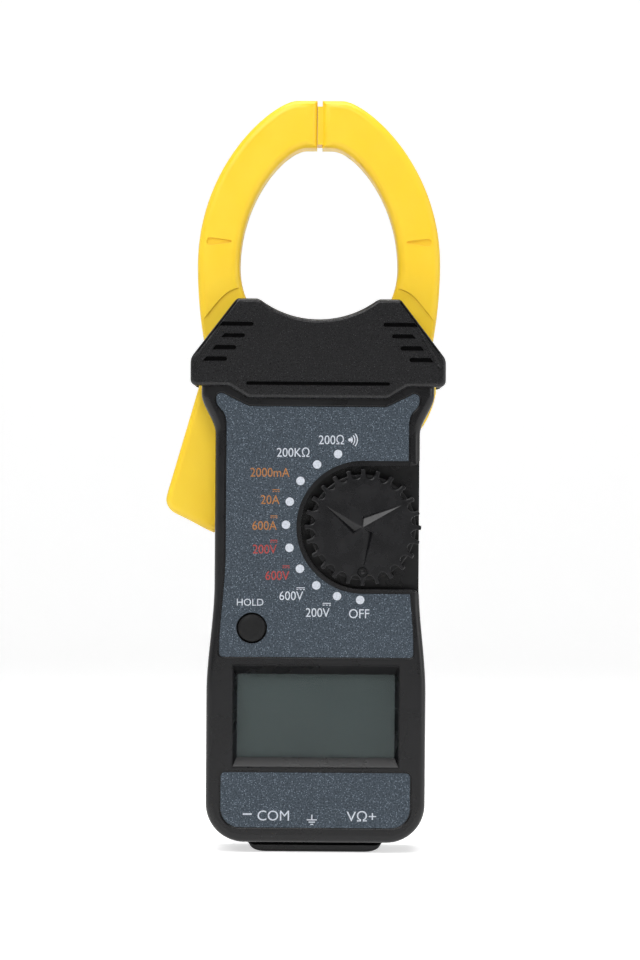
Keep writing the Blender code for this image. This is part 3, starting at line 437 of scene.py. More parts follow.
def sparked_black_abs():
    """ABS from a spark-eroded tool: the glints off its grain are painted as small pale points on the black."""
    made, tree, shader, where = start("sparked_black_abs", "#0D0D0F", 0.3, IOR=1.53)
    # the grip slots get a painted shade: their colour is darkened and their gloss turned down to stand in for the
    # shade in their hollows
    slots = add(tree, "ShaderNodeAttribute", {"attribute_name": "recess"}).outputs["Fac"]
    tree.links.new(spread(tree, slots, 0, 1, 0.3, 0.04), shader.inputs["Specular IOR Level"])
    # the real grain is 0.1 to 0.2 mm; it is drawn at about twice that so that it shows
    grain = noise(tree, where, 0.42, 2.0, 0.7)
    pits = add(tree, "ShaderNodeTexVoronoi", {"Scale": 1 / (0.5 * MM)}, Vector=where)
    both = add(tree, "ShaderNodeMath", {"operation": "ADD"}, in0=grain,
               in1=pits.outputs["Distance"]).outputs["Value"]
    # painted highlight: pale points in the base colour stand in for the grain's glints
    painted_glints = noise(tree, where, 0.3, 1.0)
    colour = ramp(tree, painted_glints, 0.62, 0.8, "#0D0D0F", "#58585A")
    tone = add(tree, "ShaderNodeMix", {"data_type": "RGBA"})
    tree.links.new(slots, tone.inputs["Factor"])
    tree.links.new(colour, tone.inputs["A"])
    # painted shade: the near-black colour laid into the grip slots
    tone.inputs["B"].default_value = linear("#060607")
    tree.links.new(tone.outputs["Result"], shader.inputs["Base Color"])
    tree.links.new(spread(tree, grain, 0.35, 0.7, 0.24, 0.4), shader.inputs["Roughness"])
    bump(tree, shader, both, 0.05, 0.7)
    return made


def yellow_abs():
    """Glossy yellow ABS: strong colour, soft sheen and a very slight orange peel."""
    made, tree, shader, where = start("yellow_abs", "#F6CE2C", 0.42, IOR=1.53, Specular_IOR_Level=0.4,
                                      Subsurface_Weight=0.06, Subsurface_Scale=0.002)
    shader.inputs["Subsurface Radius"].default_value = (1.0, 0.6, 0.15)
    drift = noise(tree, where, 22.0, 2.0)
    colour = ramp(tree, drift, 0.35, 0.7, "#F5CB27", "#F8D234")
    tree.links.new(colour, shader.inputs["Base Color"])
    tree.links.new(spread(tree, noise(tree, where, 3.0), 0.3, 0.7, 0.35, 0.46),
                   shader.inputs["Roughness"])
    bump(tree, shader, noise(tree, where, 1.6, 1.0), 0.01, 0.5)
    return made


def label_film():
    """Screen-printed polycarbonate film: slate blue with fine silver fleck under a matt face."""
    made, tree, shader, where = start("label_film", "#37414B", 0.5, IOR=1.58, Specular_IOR_Level=0.3)
    # the fleck is finer than 0.2 mm; it is drawn a little coarser so that it shows
    cloud = noise(tree, where, 0.5, 3.0, 0.8)
    ground = ramp(tree, cloud, 0.4, 0.6, "#18222B", "#434E59")
    fleck = add(tree, "ShaderNodeTexVoronoi", {"Scale": 1 / (0.38 * MM)}, Vector=where)
    size = add(tree, "ShaderNodeSeparateColor", None, Color=fleck.outputs["Color"])
    reach = spread(tree, size.outputs["Red"], 0.3, 1.0, 0.0, 0.42)
    hit = add(tree, "ShaderNodeMath", {"operation": "LESS_THAN"}, in0=fleck.outputs["Distance"],
              in1=reach).outputs["Value"]
    mixed = add(tree, "ShaderNodeMix", {"data_type": "RGBA"})
    tree.links.new(hit, mixed.inputs["Factor"])
    tree.links.new(ground, mixed.inputs["A"])
    mixed.inputs["B"].default_value = linear("#75828E")
    tree.links.new(mixed.outputs["Result"], shader.inputs["Base Color"])
    bump(tree, shader, cloud, 0.01, 0.4)
    return made


def ink(name, colour):
    """Screen ink: matt and a little uneven, as it prints over the fleck."""
    made, tree, shader, where = start(name, colour, 0.55)
    tone = noise(tree, where, 0.5, 2.0)
    low = "#" + "".join(f"{int(int(colour[i:i + 2], 16) * 0.9):02X}" for i in (1, 3, 5))
    tree.links.new(ramp(tree, tone, 0.35, 0.6, low, colour), shader.inputs["Base Color"])
    return made


def knob_abs():
    """The knob's ABS: black and satin, with slight wear that greys it in soft patches."""
    made, tree, shader, where = start("knob_abs", "#111113", 0.24, IOR=1.53,
                                      Specular_IOR_Level=0.28)
    wear = noise(tree, where, 5.0, 4.0)
    tree.links.new(ramp(tree, wear, 0.3, 0.75, "#0E0E10", "#151517"), shader.inputs["Base Color"])
    tree.links.new(spread(tree, wear, 0.3, 0.7, 0.22, 0.32), shader.inputs["Roughness"])
    bump(tree, shader, noise(tree, where, 0.4, 2.0), 0.01, 0.4)
    return made


def silicone(name, colour):
    """Moulded silicone rubber: soft and matt with a dusty sheen."""
    made, tree, shader, where = start(name, colour, 0.6, IOR=1.41, Sheen_Weight=0.05,
                                      Specular_IOR_Level=0.3)
    tree.links.new(spread(tree, noise(tree, where, 1.2), 0.3, 0.7, 0.52, 0.66),
                   shader.inputs["Roughness"])
    bump(tree, shader, noise(tree, where, 0.35, 2.0), 0.02, 0.5)
    return made


def window_acrylic():
    """Clear acrylic sheet: hardly seen but for the gloss on its face."""
    made, tree, shader, where = start("window_acrylic", "#3A403F", 0.08, IOR=1.49, Alpha=0.14)
    haze = noise(tree, where, 14.0, 2.0)
    tree.links.new(spread(tree, haze, 0.3, 0.7, 0.06, 0.11), shader.inputs["Roughness"])
    return made


def display_glass():
    """A switched-off liquid crystal cell: grey-green, with a faint fine grain and cloudy backing."""
    made, tree, shader, where = start("display_glass", "#444E4E", 0.34, IOR=1.52, Specular_IOR_Level=0.3)
    cloud = noise(tree, where, 26.0, 2.0)
    tree.links.new(ramp(tree, cloud, 0.3, 0.7, "#404C4C", "#465353"), shader.inputs["Base Color"])
    bump(tree, shader, noise(tree, where, 0.5, 1.0), 0.001, 0.3)
    return made


def metal(name, colour, rough, grain=0.5):
    """Plain metal with a fine uneven polish."""
    made, tree, shader, where = start(name, colour, rough, 1.0)
    tone = noise(tree, where, grain, 3.0)
    tree.links.new(spread(tree, tone, 0.3, 0.7, rough * 0.8, rough * 1.25),
                   shader.inputs["Roughness"])
    bump(tree, shader, tone, 0.01, 0.4)
    return made


def wound(name, colour):
    """Enamelled wire laid turn by turn: ridges 0.4 mm apart round the bobbin."""
    made, tree, shader, where = start(name, colour, 0.35, 0.9)
    turns = {"wave_type": "BANDS", "bands_direction": "Z", "Scale": 1 / (0.4 * MM) / 3.2}
    ridges = add(tree, "ShaderNodeTexWave", turns, Vector=where).outputs["Fac"]
    # painted shade: the colour darkens towards the troughs between turns, where the bump sinks
    tree.links.new(ramp(tree, ridges, 0.1, 0.9, "#5A2E17", colour), shader.inputs["Base Color"])
    bump(tree, shader, ridges, 0.15, 0.8)
    return made


def laminated(name, colour):
    """Stacked silicon steel sheets: their edges show as lines 0.5 mm apart."""
    made, tree, shader, where = start(name, colour, 0.45, 0.9)
    sheets = {"wave_type": "BANDS", "bands_direction": "Y", "Scale": 1 / (0.5 * MM) / 3.2}
    lines = add(tree, "ShaderNodeTexWave", sheets, Vector=where).outputs["Fac"]
    tree.links.new(ramp(tree, lines, 0.0, 0.5, "#2A2A2C", colour), shader.inputs["Base Color"])
    bump(tree, shader, lines, 0.08, 0.7)
    return made


def plain(name, colour, rough, patch=2.0, depth=0.01):
    """A moulded or printed part inside: one colour with slight mottling."""
    made, tree, shader, where = start(name, colour, rough)
    tone = noise(tree, where, patch, 3.0)
    low = "#" + "".join(f"{int(int(colour[i:i + 2], 16) * 0.86):02X}" for i in (1, 3, 5))
    tree.links.new(ramp(tree, tone, 0.3, 0.7, low, colour), shader.inputs["Base Color"])
    bump(tree, shader, tone, depth, 0.4)
    return made


LOOKS = {
    "case_abs": satin_black_abs(),
    "guard_abs": sparked_black_abs(),
    "jaw_abs": yellow_abs(),
    "label_film": label_film(),
    "knob_abs": knob_abs(),
    "button_rubber": silicone("button_rubber", "#101011"),
    "clear_lens": window_acrylic(),
    "lcd_cell": display_glass(),
    "white_plastic": plain("natural_nylon", "#DEDCD2", 0.5),
    "elastomer": silicone("contact_elastomer", "#19191A"),
    "circuit_board": plain("solder_mask", "#1E5B33", 0.4, 1.2, 0.02),
    "chip_resin": plain("chip_epoxy", "#1B1B1D", 0.55, 0.6),
    "brass": metal("turned_brass", "#C9A662", 0.28, 0.7),
    "fuse_glass": plain("fuse_glass", "#C6CFCB", 0.12, 4.0),
    "aluminium_can": metal("drawn_aluminium", "#C9CACC", 0.3),
    "battery_can": plain("battery_jacket", "#6D7076", 0.35, 3.0),
    "lead_red": plain("red_pvc", "#9C1B18", 0.45),
    "lead_black": plain("black_pvc", "#1A1A1A", 0.45),
    "steel": metal("zinc_plated_steel", "#B9BBBF", 0.3, 0.6),
    "core_iron": laminated("core_laminations", "#6A6B6E"),
    "copper_wire": wound("enamelled_copper", "#B9683A"),
}


# ---------------------------------------------------------------- case and guard

def shell_cutters(front):
    """The slots that the jaws, the trigger, the right lever and the sockets pass through."""
    low, high = (-FAR, 1.0) if front else (-1.0, FAR)
    jaw, grip = JAW_HALF_Y + 1.0, span("trigger")[1].y + 1.0

    def limits(half):
        return max(low, -half), min(high, half)

    foot = span("socket_block")
    neck = (max(low, foot[0].y + 0.7), min(high, foot[1].y - 0.7))
    return [box(-FAR, -28, *limits(grip), 95.0, 150.0), box(28, FAR, *limits(grip), 128.5, 150.0),
            box(-FAR, FAR, *limits(jaw), 146.2, JAW_TOP_Z),
            box(1.5 - FOOT_HALF, FOOT_HALF - 1.5, *neck, BASE_Z - 2, BASE_Z + 3)]


WELL_R = 19.4
LCD_SIGHT = (-24.7, 24.7, 29.8, 55.9)
LCD_FACE = (-26.0, 26.0, 26.7, 58.8)


def front_case():
    outline = mirrored(case_half())
    inside = FRONT_Y + 2.0
    floor = FRONT_Y + 9.0
    shell = prism(outline, FRONT_Y, -PARTING, front=2.4, steps=6)
    cut(shell, prism(inset(outline, 2.0), inside, 1))
    join(shell, prism(well_outline(WELL_R + 1.6, 31.5), inside - 0.5, floor + 1.6))
    x0, x1, z0, z1 = LCD_SIGHT
    frame_back = FRONT_Y + 3.2
    join(shell, box(x0 - 4, x1 + 4, inside - 0.5, frame_back, z0 - 4, z1 + 4))
    for side in (-1, 1):
        join(shell, rod("Y", side * PIVOT_X, PIVOT_Z, 4, inside - 0.5, -JAW_HALF_Y - 0.4))
        cut(shell, rod("Y", side * PIVOT_X, PIVOT_Z, 2, inside + 1, 1))
    cut(shell, prism(well_outline(WELL_R, 32.0, fillet=2.2), -FAR, floor))
    cut(shell, rod("Y", KNOB_X, KNOB_Z, 5.2, floor - 1, floor + 3))
    inner, outer = well_outline(WELL_R + 0.15, 31.0), well_outline(WELL_R + 0.95, 31.0)
    bead = outer[:-1] + inner[-2:-1] + inner[:-2][::-1] + inner[-1:] + outer[-1:]
    join(shell, prism(bead, FRONT_Y - 0.3, FRONT_Y + 0.3, front=0.22, steps=3))
    past = 0.5 / (frame_back - FRONT_Y)
    ends = [(f - past * (b - f), b + past * (b - f)) for f, b in zip(LCD_FACE, LCD_SIGHT)]
    cut(shell, frustum([e[0] for e in ends], FRONT_Y - 0.5, [e[1] for e in ends],
                       frame_back + 0.5))
    fx0, fx1, fz0, fz1 = LCD_FACE
    soft_edge = (fx0 - 0.3, fx1 + 0.3, fz0 - 0.3, fz1 + 0.3)
    cut(shell, frustum(soft_edge, FRONT_Y - 0.3, (fx0, fx1, fz0, fz1), FRONT_Y + 0.3))
    cut(shell, rod("Y", HOLD_X, HOLD_Z, 4.85, -FAR, inside + 1, sides=56))
    for label in (mirrored(upper_label_half()), mirrored(lower_label_half())):
        cut(shell, prism(inset(label, -0.25), -FAR, FRONT_Y + 0.6))
        cut(shell, prism(inset(label, -0.55), -FAR, FRONT_Y + 0.3, back=0.3, steps=2))
    cut(shell, *shell_cutters(True))
    return finish_piece(shell, "front_shell", "meter_body", "case_abs", LOOKS["case_abs"],
                        "front_case")


def rear_case():
    outline = mirrored(case_half())
    inside = BACK_Y - 2.0
    shell = prism(outline, PARTING, BACK_Y, back=2.4, steps=6)
    cut(shell, prism(inset(outline, 2.0), -1, inside))
    door_low, door_high = span("battery_door")
    ledge = door_low.y - 0.3
    join(shell, box(door_low.x - 2.5, door_high.x + 2.5, ledge - 1.8, inside + 0.5,
                    door_low.z - 2, door_high.z + 2))
    bay = 13.7
    join(shell, box(-bay - 1.4, bay + 1.4, PARTING, ledge - 0.5, 12.3, 69.0))
    for node in ("case_screw_lower_left", "case_screw_lower_right",
                 "case_screw_upper_left", "case_screw_upper_right"):
        low, high = span(node)
        x, z = (low.x + high.x) / 2, (low.z + high.z) / 2
        end = -2.7 if z < 40 else PARTING
        join(shell, rod("Y", x, z, 4.2, end, inside + 0.5))
        cut(shell, rod("Y", x, z, 1.6, -FAR, FAR, 20), rod("Y", x, z, 3.0, 9.0, FAR))
        cut(shell, turned([(0, BACK_Y - 0.5), (2.9, BACK_Y - 0.5), (4.0, BACK_Y + 0.6),
                           (0, BACK_Y + 0.6)], x, z))
    for side in (-1, 1):
        join(shell, rod("Y", side * PIVOT_X, PIVOT_Z, 4, 14.2, inside + 0.5))
        cut(shell, rod("Y", side * PIVOT_X, PIVOT_Z, 2, -FAR, inside - 1))
    screw = span("door_screw")
    screw_z = (screw[0].z + screw[1].z) / 2
    join(shell, rod("Y", 0, screw_z, 3, 6, ledge - 0.5))
    cut(shell, box(door_low.x - 0.3, door_high.x + 0.3, ledge, FAR,
                   door_low.z - 0.3, door_high.z + 0.3))
    cut(shell, rod("Y", 0, screw_z, 1.5, 8, FAR, 20))
    cut(shell, box(-bay, bay, 0.9, FAR, 13.7, 67.6))
    cut(shell, box(-9, 9, 3.2, ledge - 3, 66.6, 69.6))
    # a shallow plain panel above the battery door, and finger grooves beside it
    panel = rounded_box(-21, 21, 84, 117, 3.0)
    cut(shell, prism(panel, BACK_Y - 0.4, FAR, front=0.3, steps=2))
    for side in (-1, 1):
        for row in range(7):
            z = 30.0 + 5.0 * row
            groove = rounded_box(*sorted((side * 21.5, side * 28.5)), z - 0.8, z + 0.8, 0.79, 4)
            cut(shell, prism(groove, BACK_Y - 0.6, FAR, front=0.35, steps=2))
    cut(shell, *shell_cutters(False))
    return finish_piece(shell, "rear_shell", "meter_body", "case_abs", LOOKS["case_abs"],
                        "rear_case")


def battery_door():
    low, high = span("battery_door")
    screw = span("door_screw")
    screw_z = (screw[0].z + screw[1].z) / 2
    plate = prism(rounded_box(low.x, high.x, low.z, high.z, 1.5), low.y, high.y,
                  back=0.35, steps=3)
    cut(plate, rod("Y", 0, screw_z, 1.6, -FAR, FAR, 20))
    cut(plate, rod("Y", 0, screw_z, 3.0, high.y - 1.0, FAR))
    for row in range(6):
        z = 15.0 + 2.6 * row
        half = 9.0 - row * 1.1
        cut(plate, prism(rounded_box(-half, half, z - 0.6, z + 0.6, 0.59, 4), high.y - 0.55, FAR,
                         front=0.3, steps=2))
    return finish_piece(plate, "door_panel", "door", "case_abs", LOOKS["case_abs"],
                        "battery_door")


def slot_outline(x0, x1, z0, z1, lean):
    """A grip slot: its inner end round, its outer end cut along the guard's slant."""
    mid, half = (z0 + z1) / 2, (z1 - z0) / 2
    inner = arc(x0 + half, mid, half, 90, 270, 6)
    return inner + [(x1 + lean / 2, z0), (x1 - lean / 2, z1)]


def guard(front):
    face = GUARD_FRONT_Y if front else GUARD_BACK_Y
    sign = -1 if front else 1
    seat = (FRONT_Y if front else BACK_Y) + sign * 0.3
    rim = sign * (JAW_HALF_Y + 1)
    edges = {"front": 1.25} if front else {"back": 1.25}
    pan = prism(mirrored(guard_half()), *sorted((face, rim)), steps=4, **edges)
    cut(pan, prism(inset(mirrored(guard_half(corner=0)), 1.7), *sorted((seat, 0))))
    body = SHOULDER_HALF + 1.8
    cut(pan, box(-body, body, *sorted((seat, 0)), GUARD_LOW_Z - 5, 149.0))
    inner = arc(0, DIP_Z, DIP_R, -122, -58, 32)
    outer = arc(0, DIP_Z, DIP_R + 1.6, -58, -122, 32)
    join(pan, prism((inner + outer)[::-1], *sorted((seat + sign * 0.5, sign * PARTING))))
    deep = face - sign * 1.1
    bottom = {"back": 0.3} if front else {"front": 0.3}

    def sink(outline):
        cut(pan, prism(outline, *sorted((face + sign * 5, deep)), steps=2, **bottom))

    rows = ((20.2, 30.6, 164.6, 166.0), (22.9, 29.9, 161.0, 162.4), (25.6, 32.6, 157.2, 158.7),
            (28.4, 35.5, 153.6, 155.1))
    for side in (-1, 1):
        for x0, x1, z0, z1 in rows:
            sink(flipped(slot_outline(x0, x1, z0, z1, 1.1), side))
    half = 0.62
    long_groove = (arc(-21.9, 146.8, half, 90, 270, 6) + arc(21.9, 146.8, half, -90, 90, 6))
    sink(long_groove)
    name = "front_hood" if front else "rear_hood"
    node = "front_guard" if front else "rear_guard"
    # the groove that runs down beside the slant and sets off the hood's raised border
    along = Vector((SLANT_HEAD[0] - SLANT_FOOT[0], SLANT_HEAD[1] - SLANT_FOOT[1])).normalized()
    across = Vector((-along.y, along.x))
    foot, head = Vector((38.3, 150.6)), Vector((31.0, 165.3))
    for side in (-1, 1):
        run = [foot - across * 0.1, Vector((38.3, 152.6)), head + along * 0.4]
        run += [head + across * 0.9, Vector((37.2, 152.4)) + across * 0.3]
        strip = [(p.x, p.y) for p in run]
        cut(pan, prism(flipped(strip, side), *sorted((face + sign * 5, face - sign * 0.45)),
                       steps=2, **{k: 0.25 for k in bottom}))
    # faces inside the grip slots and the long groove are marked for the painted shade of the guard's material
    zones = [(x0 - 0.1, x1 + 0.7, z0 - 0.1, z1 + 0.1) for x0, x1, z0, z1 in rows]
    zones.append((-1.0, 22.7, 146.0, 147.6))
    recess = pan.data.attributes.new("recess", "FLOAT", "FACE")
    for polygon in pan.data.polygons:
        x, y, z = polygon.center / MM
        if 0.02 < abs(face - y) < 1.3 and any(x0 < abs(x) < x1 and z0 < z < z1
                                              for x0, x1, z0, z1 in zones):
            recess.data[polygon.index].value = 1.0
    return finish_piece(pan, name, "meter_body", "guard_abs", LOOKS["guard_abs"], node)


# ---------------------------------------------------------------- labels and print

def labels():
    knob_cut = prism(well_outline(20.8, FAR), -FAR, 0)
    hold_cut = rod("Y", HOLD_X, HOLD_Z, 4.85, -FAR, 0, sides=56)
    back = LABEL_Y + LABEL_THICK
    upper = prism(mirrored(upper_label_half()), LABEL_Y, back, front=0.08, steps=1)
    cut(upper, knob_cut, hold_cut)
    finish_piece(upper, "dial_label", "meter_body", "label_film", LOOKS["label_film"],
                 "upper_label")
    lower = prism(mirrored(lower_label_half()), LABEL_Y, back, front=0.08, steps=1)
    finish_piece(lower, "socket_label", "meter_body", "label_film", LOOKS["label_film"],
                 "lower_label")


INK_DEEP = 0.03      # thickness of the printed ink


def letters(words, x, z, size, squeeze=0.86, align="CENTER"):
    """Printed words as a thin mesh on the label, centred on x with their foot at z."""
    curve = bpy.data.curves.new("words", "FONT")
    curve.body = words
    curve.size = size * MM
    curve.extrude = INK_DEEP / 2 * MM
    curve.resolution_u = 4
    curve.align_x = align
    text = bpy.data.objects.new("words", curve)
    bpy.context.scene.collection.objects.link(text)
    graph = bpy.context.evaluated_depsgraph_get()
    graph.update()
    mesh = bpy.data.meshes.new_from_object(text.evaluated_get(graph))
    bpy.data.objects.remove(text)
    place = Matrix.Translation(Vector((x, LABEL_Y - INK_DEEP / 2, z)) * MM)
    mesh.transform(place @ Matrix.Rotation(pi / 2, 4, "X") @ Matrix.Diagonal((squeeze, 1, 1, 1)))
    made = bpy.data.objects.new("words", mesh)
    bpy.context.scene.collection.objects.link(made)
    return made


def stroke(x0, x1, z0, z1):
    return box(x0, x1, LABEL_Y - INK_DEEP, LABEL_Y, z0, z1)


def range_bar(x0, x1, z):
    """The sign for direct and alternating current: a line over three dashes."""
    dash = (x1 - x0) / 4.2
    bars = [stroke(x0, x1, z + 0.55, z + 0.8)]
    for i in range(3):
        left = x0 + i * (x1 - x0 - dash) / 2
        bars.append(stroke(left, left + dash, z, z + 0.24))
    return bars


def buzzer_sign(x, z):
    """The sign for the continuity buzzer: a dot and three waves."""
    waves = [rod("Y", x - 1.0, z, 0.55, LABEL_Y - INK_DEEP, LABEL_Y, sides=20)]
    for radius in (1.3, 2.1, 2.9):
        outer = arc(x - 1.6, z, radius + 0.17, -42, 42, 12)
        inner = arc(x - 1.6, z, radius - 0.17, 42, -42, 12)
        waves.append(prism(outer + inner, LABEL_Y - INK_DEEP, LABEL_Y))
    return waves


def print_labels():
    dot_r, ring_r = 1.32, 23.35
    ring_x, ring_z = KNOB_X - 0.7, KNOB_Z + 0.65
    marks = []
    for i in range(10):
        a = radians(270 - 18 * i)
        marks.append(rod("Y", ring_x + ring_r * cos(a), ring_z + ring_r * sin(a), dot_r,
                         LABEL_Y - INK_DEEP, LABEL_Y, sides=32))
    marks += [
        letters("200Ω", 4.3, 127.9, 4.0, 0.9), letters("200KΩ", -7.6, 123.9, 4.0, 0.9),
        letters("600V", -8.0, 79.1, 4.0, 0.9), letters("200V", 0.3, 73.9, 4.0, 0.9),
        letters("OFF", 13.3, 73.6, 4.1, 0.92), letters("HOLD", -20.8, 77.3, 3.1, 1.0),
        letters("COM", -13.0, 10.2, 4.5, 1.0), letters("VΩ+", 14.6, 10.1, 4.4, 1.1),
    ]
    marks += range_bar(-6.3, -3.7, 82.3) + range_bar(1.9, 4.5, 77.5) + buzzer_sign(11.1, 129.3)
    marks.append(stroke(-22.6, -19.8, 11.9, 12.4))
    for half, z in ((1.6, 10.3), (1.0, 9.6), (0.45, 8.9)):
        marks.append(stroke(-1.0 - half, -1.0 + half, z, z + 0.35))
    marks.append(stroke(-1.2, -0.8, 10.5, 12.1))
    amber = [letters("2000mA", -14.9, 117.6, 4.0, 0.9), letters("20A", -14.8, 109.1, 4.0, 0.9),
             letters("600A", -16.5, 101.0, 4.0, 0.9)]
    amber += range_bar(-14.0, -11.8, 112.9) + range_bar(-14.6, -12.4, 104.7)
    red = [letters("200V", -16.4, 93.6, 4.0, 0.9), letters("600V", -12.4, 85.4, 4.0, 0.9)]
    red += range_bar(-14.6, -12.4, 97.1) + range_bar(-10.7, -8.5, 89.1)
    for name, parts, colour in (("white_print", marks, "#CDD3DC"), ("amber_print", amber, "#A86F33"),
                                ("red_print", red, "#A83A34")):
        finish_piece(gathered(name, parts), name, "meter_body", "label_film", ink(name, colour))


# ---------------------------------------------------------------- display, knob and button

def display():
    for node in ("lcd_window", "lcd_glass"):
        low, high = span(node)
        slab = prism(rounded_box(low.x, high.x, low.z, high.z, 1.0), low.y, high.y,
                     front=0.15, steps=2)
        slot = "clear_lens" if node == "lcd_window" else "lcd_cell"
        name = "display_lens" if node == "lcd_window" else "display_cell"
        finish_piece(slab, name, "meter_body", slot, LOOKS[slot], node)


def knob_ribs(notched):
    """The knob's outline: 24 ribs on a round rim, with round notches between them or not."""
    teeth, rim, half = 24, 16.6, 0.72
    pitch = 2 * pi / teeth
    points = []
    for i in range(teeth):
        a = pi / 2 + i * pitch
        turn = half / KNOB_R
        tip = [(KNOB_R - 0.25, a - turn), (KNOB_R, a - turn * 0.6), (KNOB_R, a + turn * 0.6),
               (KNOB_R - 0.25, a + turn)]
        points += [(r, b) for r, b in tip] + [(rim, a + half / rim)]
        middle = a + pitch / 2
        if notched:
            wide = 1.35
            for k in range(9):
                b = pi * k / 8
                across, inward = wide * cos(b), wide * sin(b)
                points.append((rim - 0.05 - inward, middle - across / rim))
        points.append((rim, a + pitch - half / rim))
    return [(KNOB_X + r * cos(b), KNOB_Z + r * sin(b)) for r, b in points]


def ridge(turn, top, depth):
    """Cutter for one arm of the knob's relief: a long riser that faces the light, and its return."""
    bm = bmesh.new()

    def vert(radius, angle, y):
        a = radians(angle + turn)
        return bm.verts.new(Vector((KNOB_X + radius * cos(a), y, KNOB_Z + radius * sin(a))) * MM)

    centre, tip, roof = vert(0, 0, top), vert(13.8, 30, top), vert(3, 45, top - 3.0)
    notch, beyond = vert(2.7, 90, top + depth), vert(3.7, 93, top)
    for corners in ((centre, notch, tip), (notch, beyond, tip), (centre, beyond, notch),
                    (roof, centre, tip), (roof, tip, beyond), (roof, beyond, centre)):
        bm.faces.new(corners)
    return to_object(bm)


def knob():
    top, under = KNOB_LOW.y, KNOB_HIGH.y
    skirt_end = FRONT_Y + 9.0 - 0.6
    piece = prism(knob_ribs(False), top + 2.2, skirt_end, front=0.2, steps=2)
    join(piece, prism(knob_ribs(True), top, top + 2.5, front=0.28, steps=2))
    join(piece, rod("Y", KNOB_X, KNOB_Z, 4.9, skirt_end - 1, under))
    for side in (-1, 1):
        cut(piece, rod("Y", KNOB_X + side * 11, KNOB_Z, 1.8, skirt_end - 5.5, skirt_end + 1, 24))
    cut(piece, *[ridge(turn, top, 1.04) for turn in (0, 120, 240)])
    z = KNOB_Z - 14.0
    ring = [(0, top - 1), (1.62, top - 1), (1.62, top), (1.35, top + 0.75), (0.8, top + 0.75),
            (0.68, top + 0.2), (0.4, top + 0.08), (0, top + 0.05)]
    cut(piece, turned(ring, KNOB_X, z))
    finish_piece(piece, "selector_knob", "selector", "knob_abs", LOOKS["knob_abs"], "knob",
                 angle=28)
    # the relief's facets meet at small angles, so their edges are kept crisp one by one
    bm = bmesh.new()
    bm.from_mesh(piece.data)
    for edge in bm.edges:
        flat = [face for face in edge.link_faces if face.normal.y < -0.8]
        if len(flat) == 2 and edge.calc_face_angle(0) > radians(0.5):
            edge.smooth = False
    bm.to_mesh(piece.data)
    bm.free()
    return piece


def hold_button():
    low, high = span("hold_button")
    wall_back = FRONT_Y + 2.0
    crown = [(0, low.y)]
    crown += [(2.6, low.y + 0.08), (3.5, low.y + 0.2), (3.95, low.y + 0.42), (4.18, low.y + 0.75)]
    crown += [(4.25, low.y + 1.1), (4.25, wall_back + 0.3), (5.65, wall_back + 0.3)]
    crown += [(5.65, wall_back + 1.3), (2.0, wall_back + 1.3), (2.0, high.y), (0, high.y)]
    piece = turned(crown, HOLD_X, HOLD_Z, 64)
    return finish_piece(piece, "hold_key_cap", "hold_key", "button_rubber",
                        LOOKS["button_rubber"], "hold_button")


# ---------------------------------------------------------------- jaws and levers

def teardrop():
    """The small recess at the widest part of a jaw: round outside, pointed inside."""
    round_end = arc(34.15, 191.5, 1.25, -84, 84, 12)
    return round_end + arc(27.95, 191.55, 0.4, 96, 264, 6)


def neck_step():
    """The region below the slanting step, where the jaw gets thinner to enter the guard."""
    line = [(44.0, 157.4), (36.9, 166.2)]
    line += bezier((35.8, 167.6), (31.0, 173.4), (29.4, 176.6), (24.0, 177.2), 10)
    return [(14.0, 148.0), (44.0, 148.0)] + line + [(14.0, 177.2)]


def jaw_shell(hand, side, front):
    sign = -1 if front else 1
    face, split = sign * JAW_HALF_Y, sign * PARTING
    edge = {"front": 2.6} if front else {"back": 2.6}
    bottom = {"back": 0.25} if front else {"front": 0.25}
    shell = prism(flipped(jaw_outline(), side), *sorted((face, split)), steps=6, **edge)
    if side > 0:
        join(shell, box(-0.76, 4, *sorted((face - sign * 1.6, split)), 222.2, 234.2))
    hollow = flipped(jaw_outline(ring=1.8, leg=1.8, end=1.9, seam=2.2), side)
    cut(shell, prism(hollow, *sorted((face - sign * 1.8, -sign))))
    px = side * PIVOT_X
    hub = sorted((face, sign * 3.3))
    join(shell, rod("Y", px, PIVOT_Z, 4.6, *hub),
         box(px - 4.6, px + 4.6, *hub, PIVOT_Z, 151.0))
    cut(shell, rod("Y", px, PIVOT_Z, 2.0, -FAR, FAR))
    core = [span(f"{hand}_core")[0], span(f"{hand}_core")[1]]
    half_y = core[1].y + 0.3
    middle = (JAW_TOP_Z + 221.0) / 2
    cut(shell, box(-4, 4, -half_y, half_y, middle - 3.4, middle + 3.4),
        box(-4, 4, -half_y, half_y, 152.3, 158.7))
    drop = prism(flipped(teardrop(), side), *sorted((face + sign * 4, face - sign * 0.8)),
                 steps=2, **bottom)
    step = {"back": 0.2} if front else {"front": 0.2}
    neck = prism(flipped(neck_step(), side), *sorted((face + sign * 4, face - sign * 0.65)),
                 steps=2, **step)
    cut(shell, drop, neck)
    name = f"{hand}_jaw_{'front' if front else 'rear'}_half"
    node = f"{hand}_jaw_{'front' if front else 'rear'}_shell"
    return finish_piece(shell, name, f"{hand}_jaw", "jaw_abs", LOOKS["jaw_abs"], node)


def lever_arm(side):
    """The flat arm from the pivot out to the side wall, with its spring seat below."""
    px, top = side * PIVOT_X, 149.7
    half = 3.0
    arm = rod("Y", px, PIVOT_Z, top - PIVOT_Z, -half, half)
    low = PIVOT_Z - 3.6
    plate = [(PIVOT_X, low), (31.5, low), (31.5, top), (PIVOT_X, top)]
    strut = [(19, 130.6), (31.5, 130.6), (31.5, PIVOT_Z), (19, PIVOT_Z)]
    join(arm, prism(flipped(plate, side), -half, half), prism(flipped(strut, side), -half, half))
    join(arm, rod("X", 0, 134.0, 1.75, *sorted((side * 16, side * 20))))
    return cut(arm, rod("Y", px, PIVOT_Z, 2.0, -FAR, FAR))


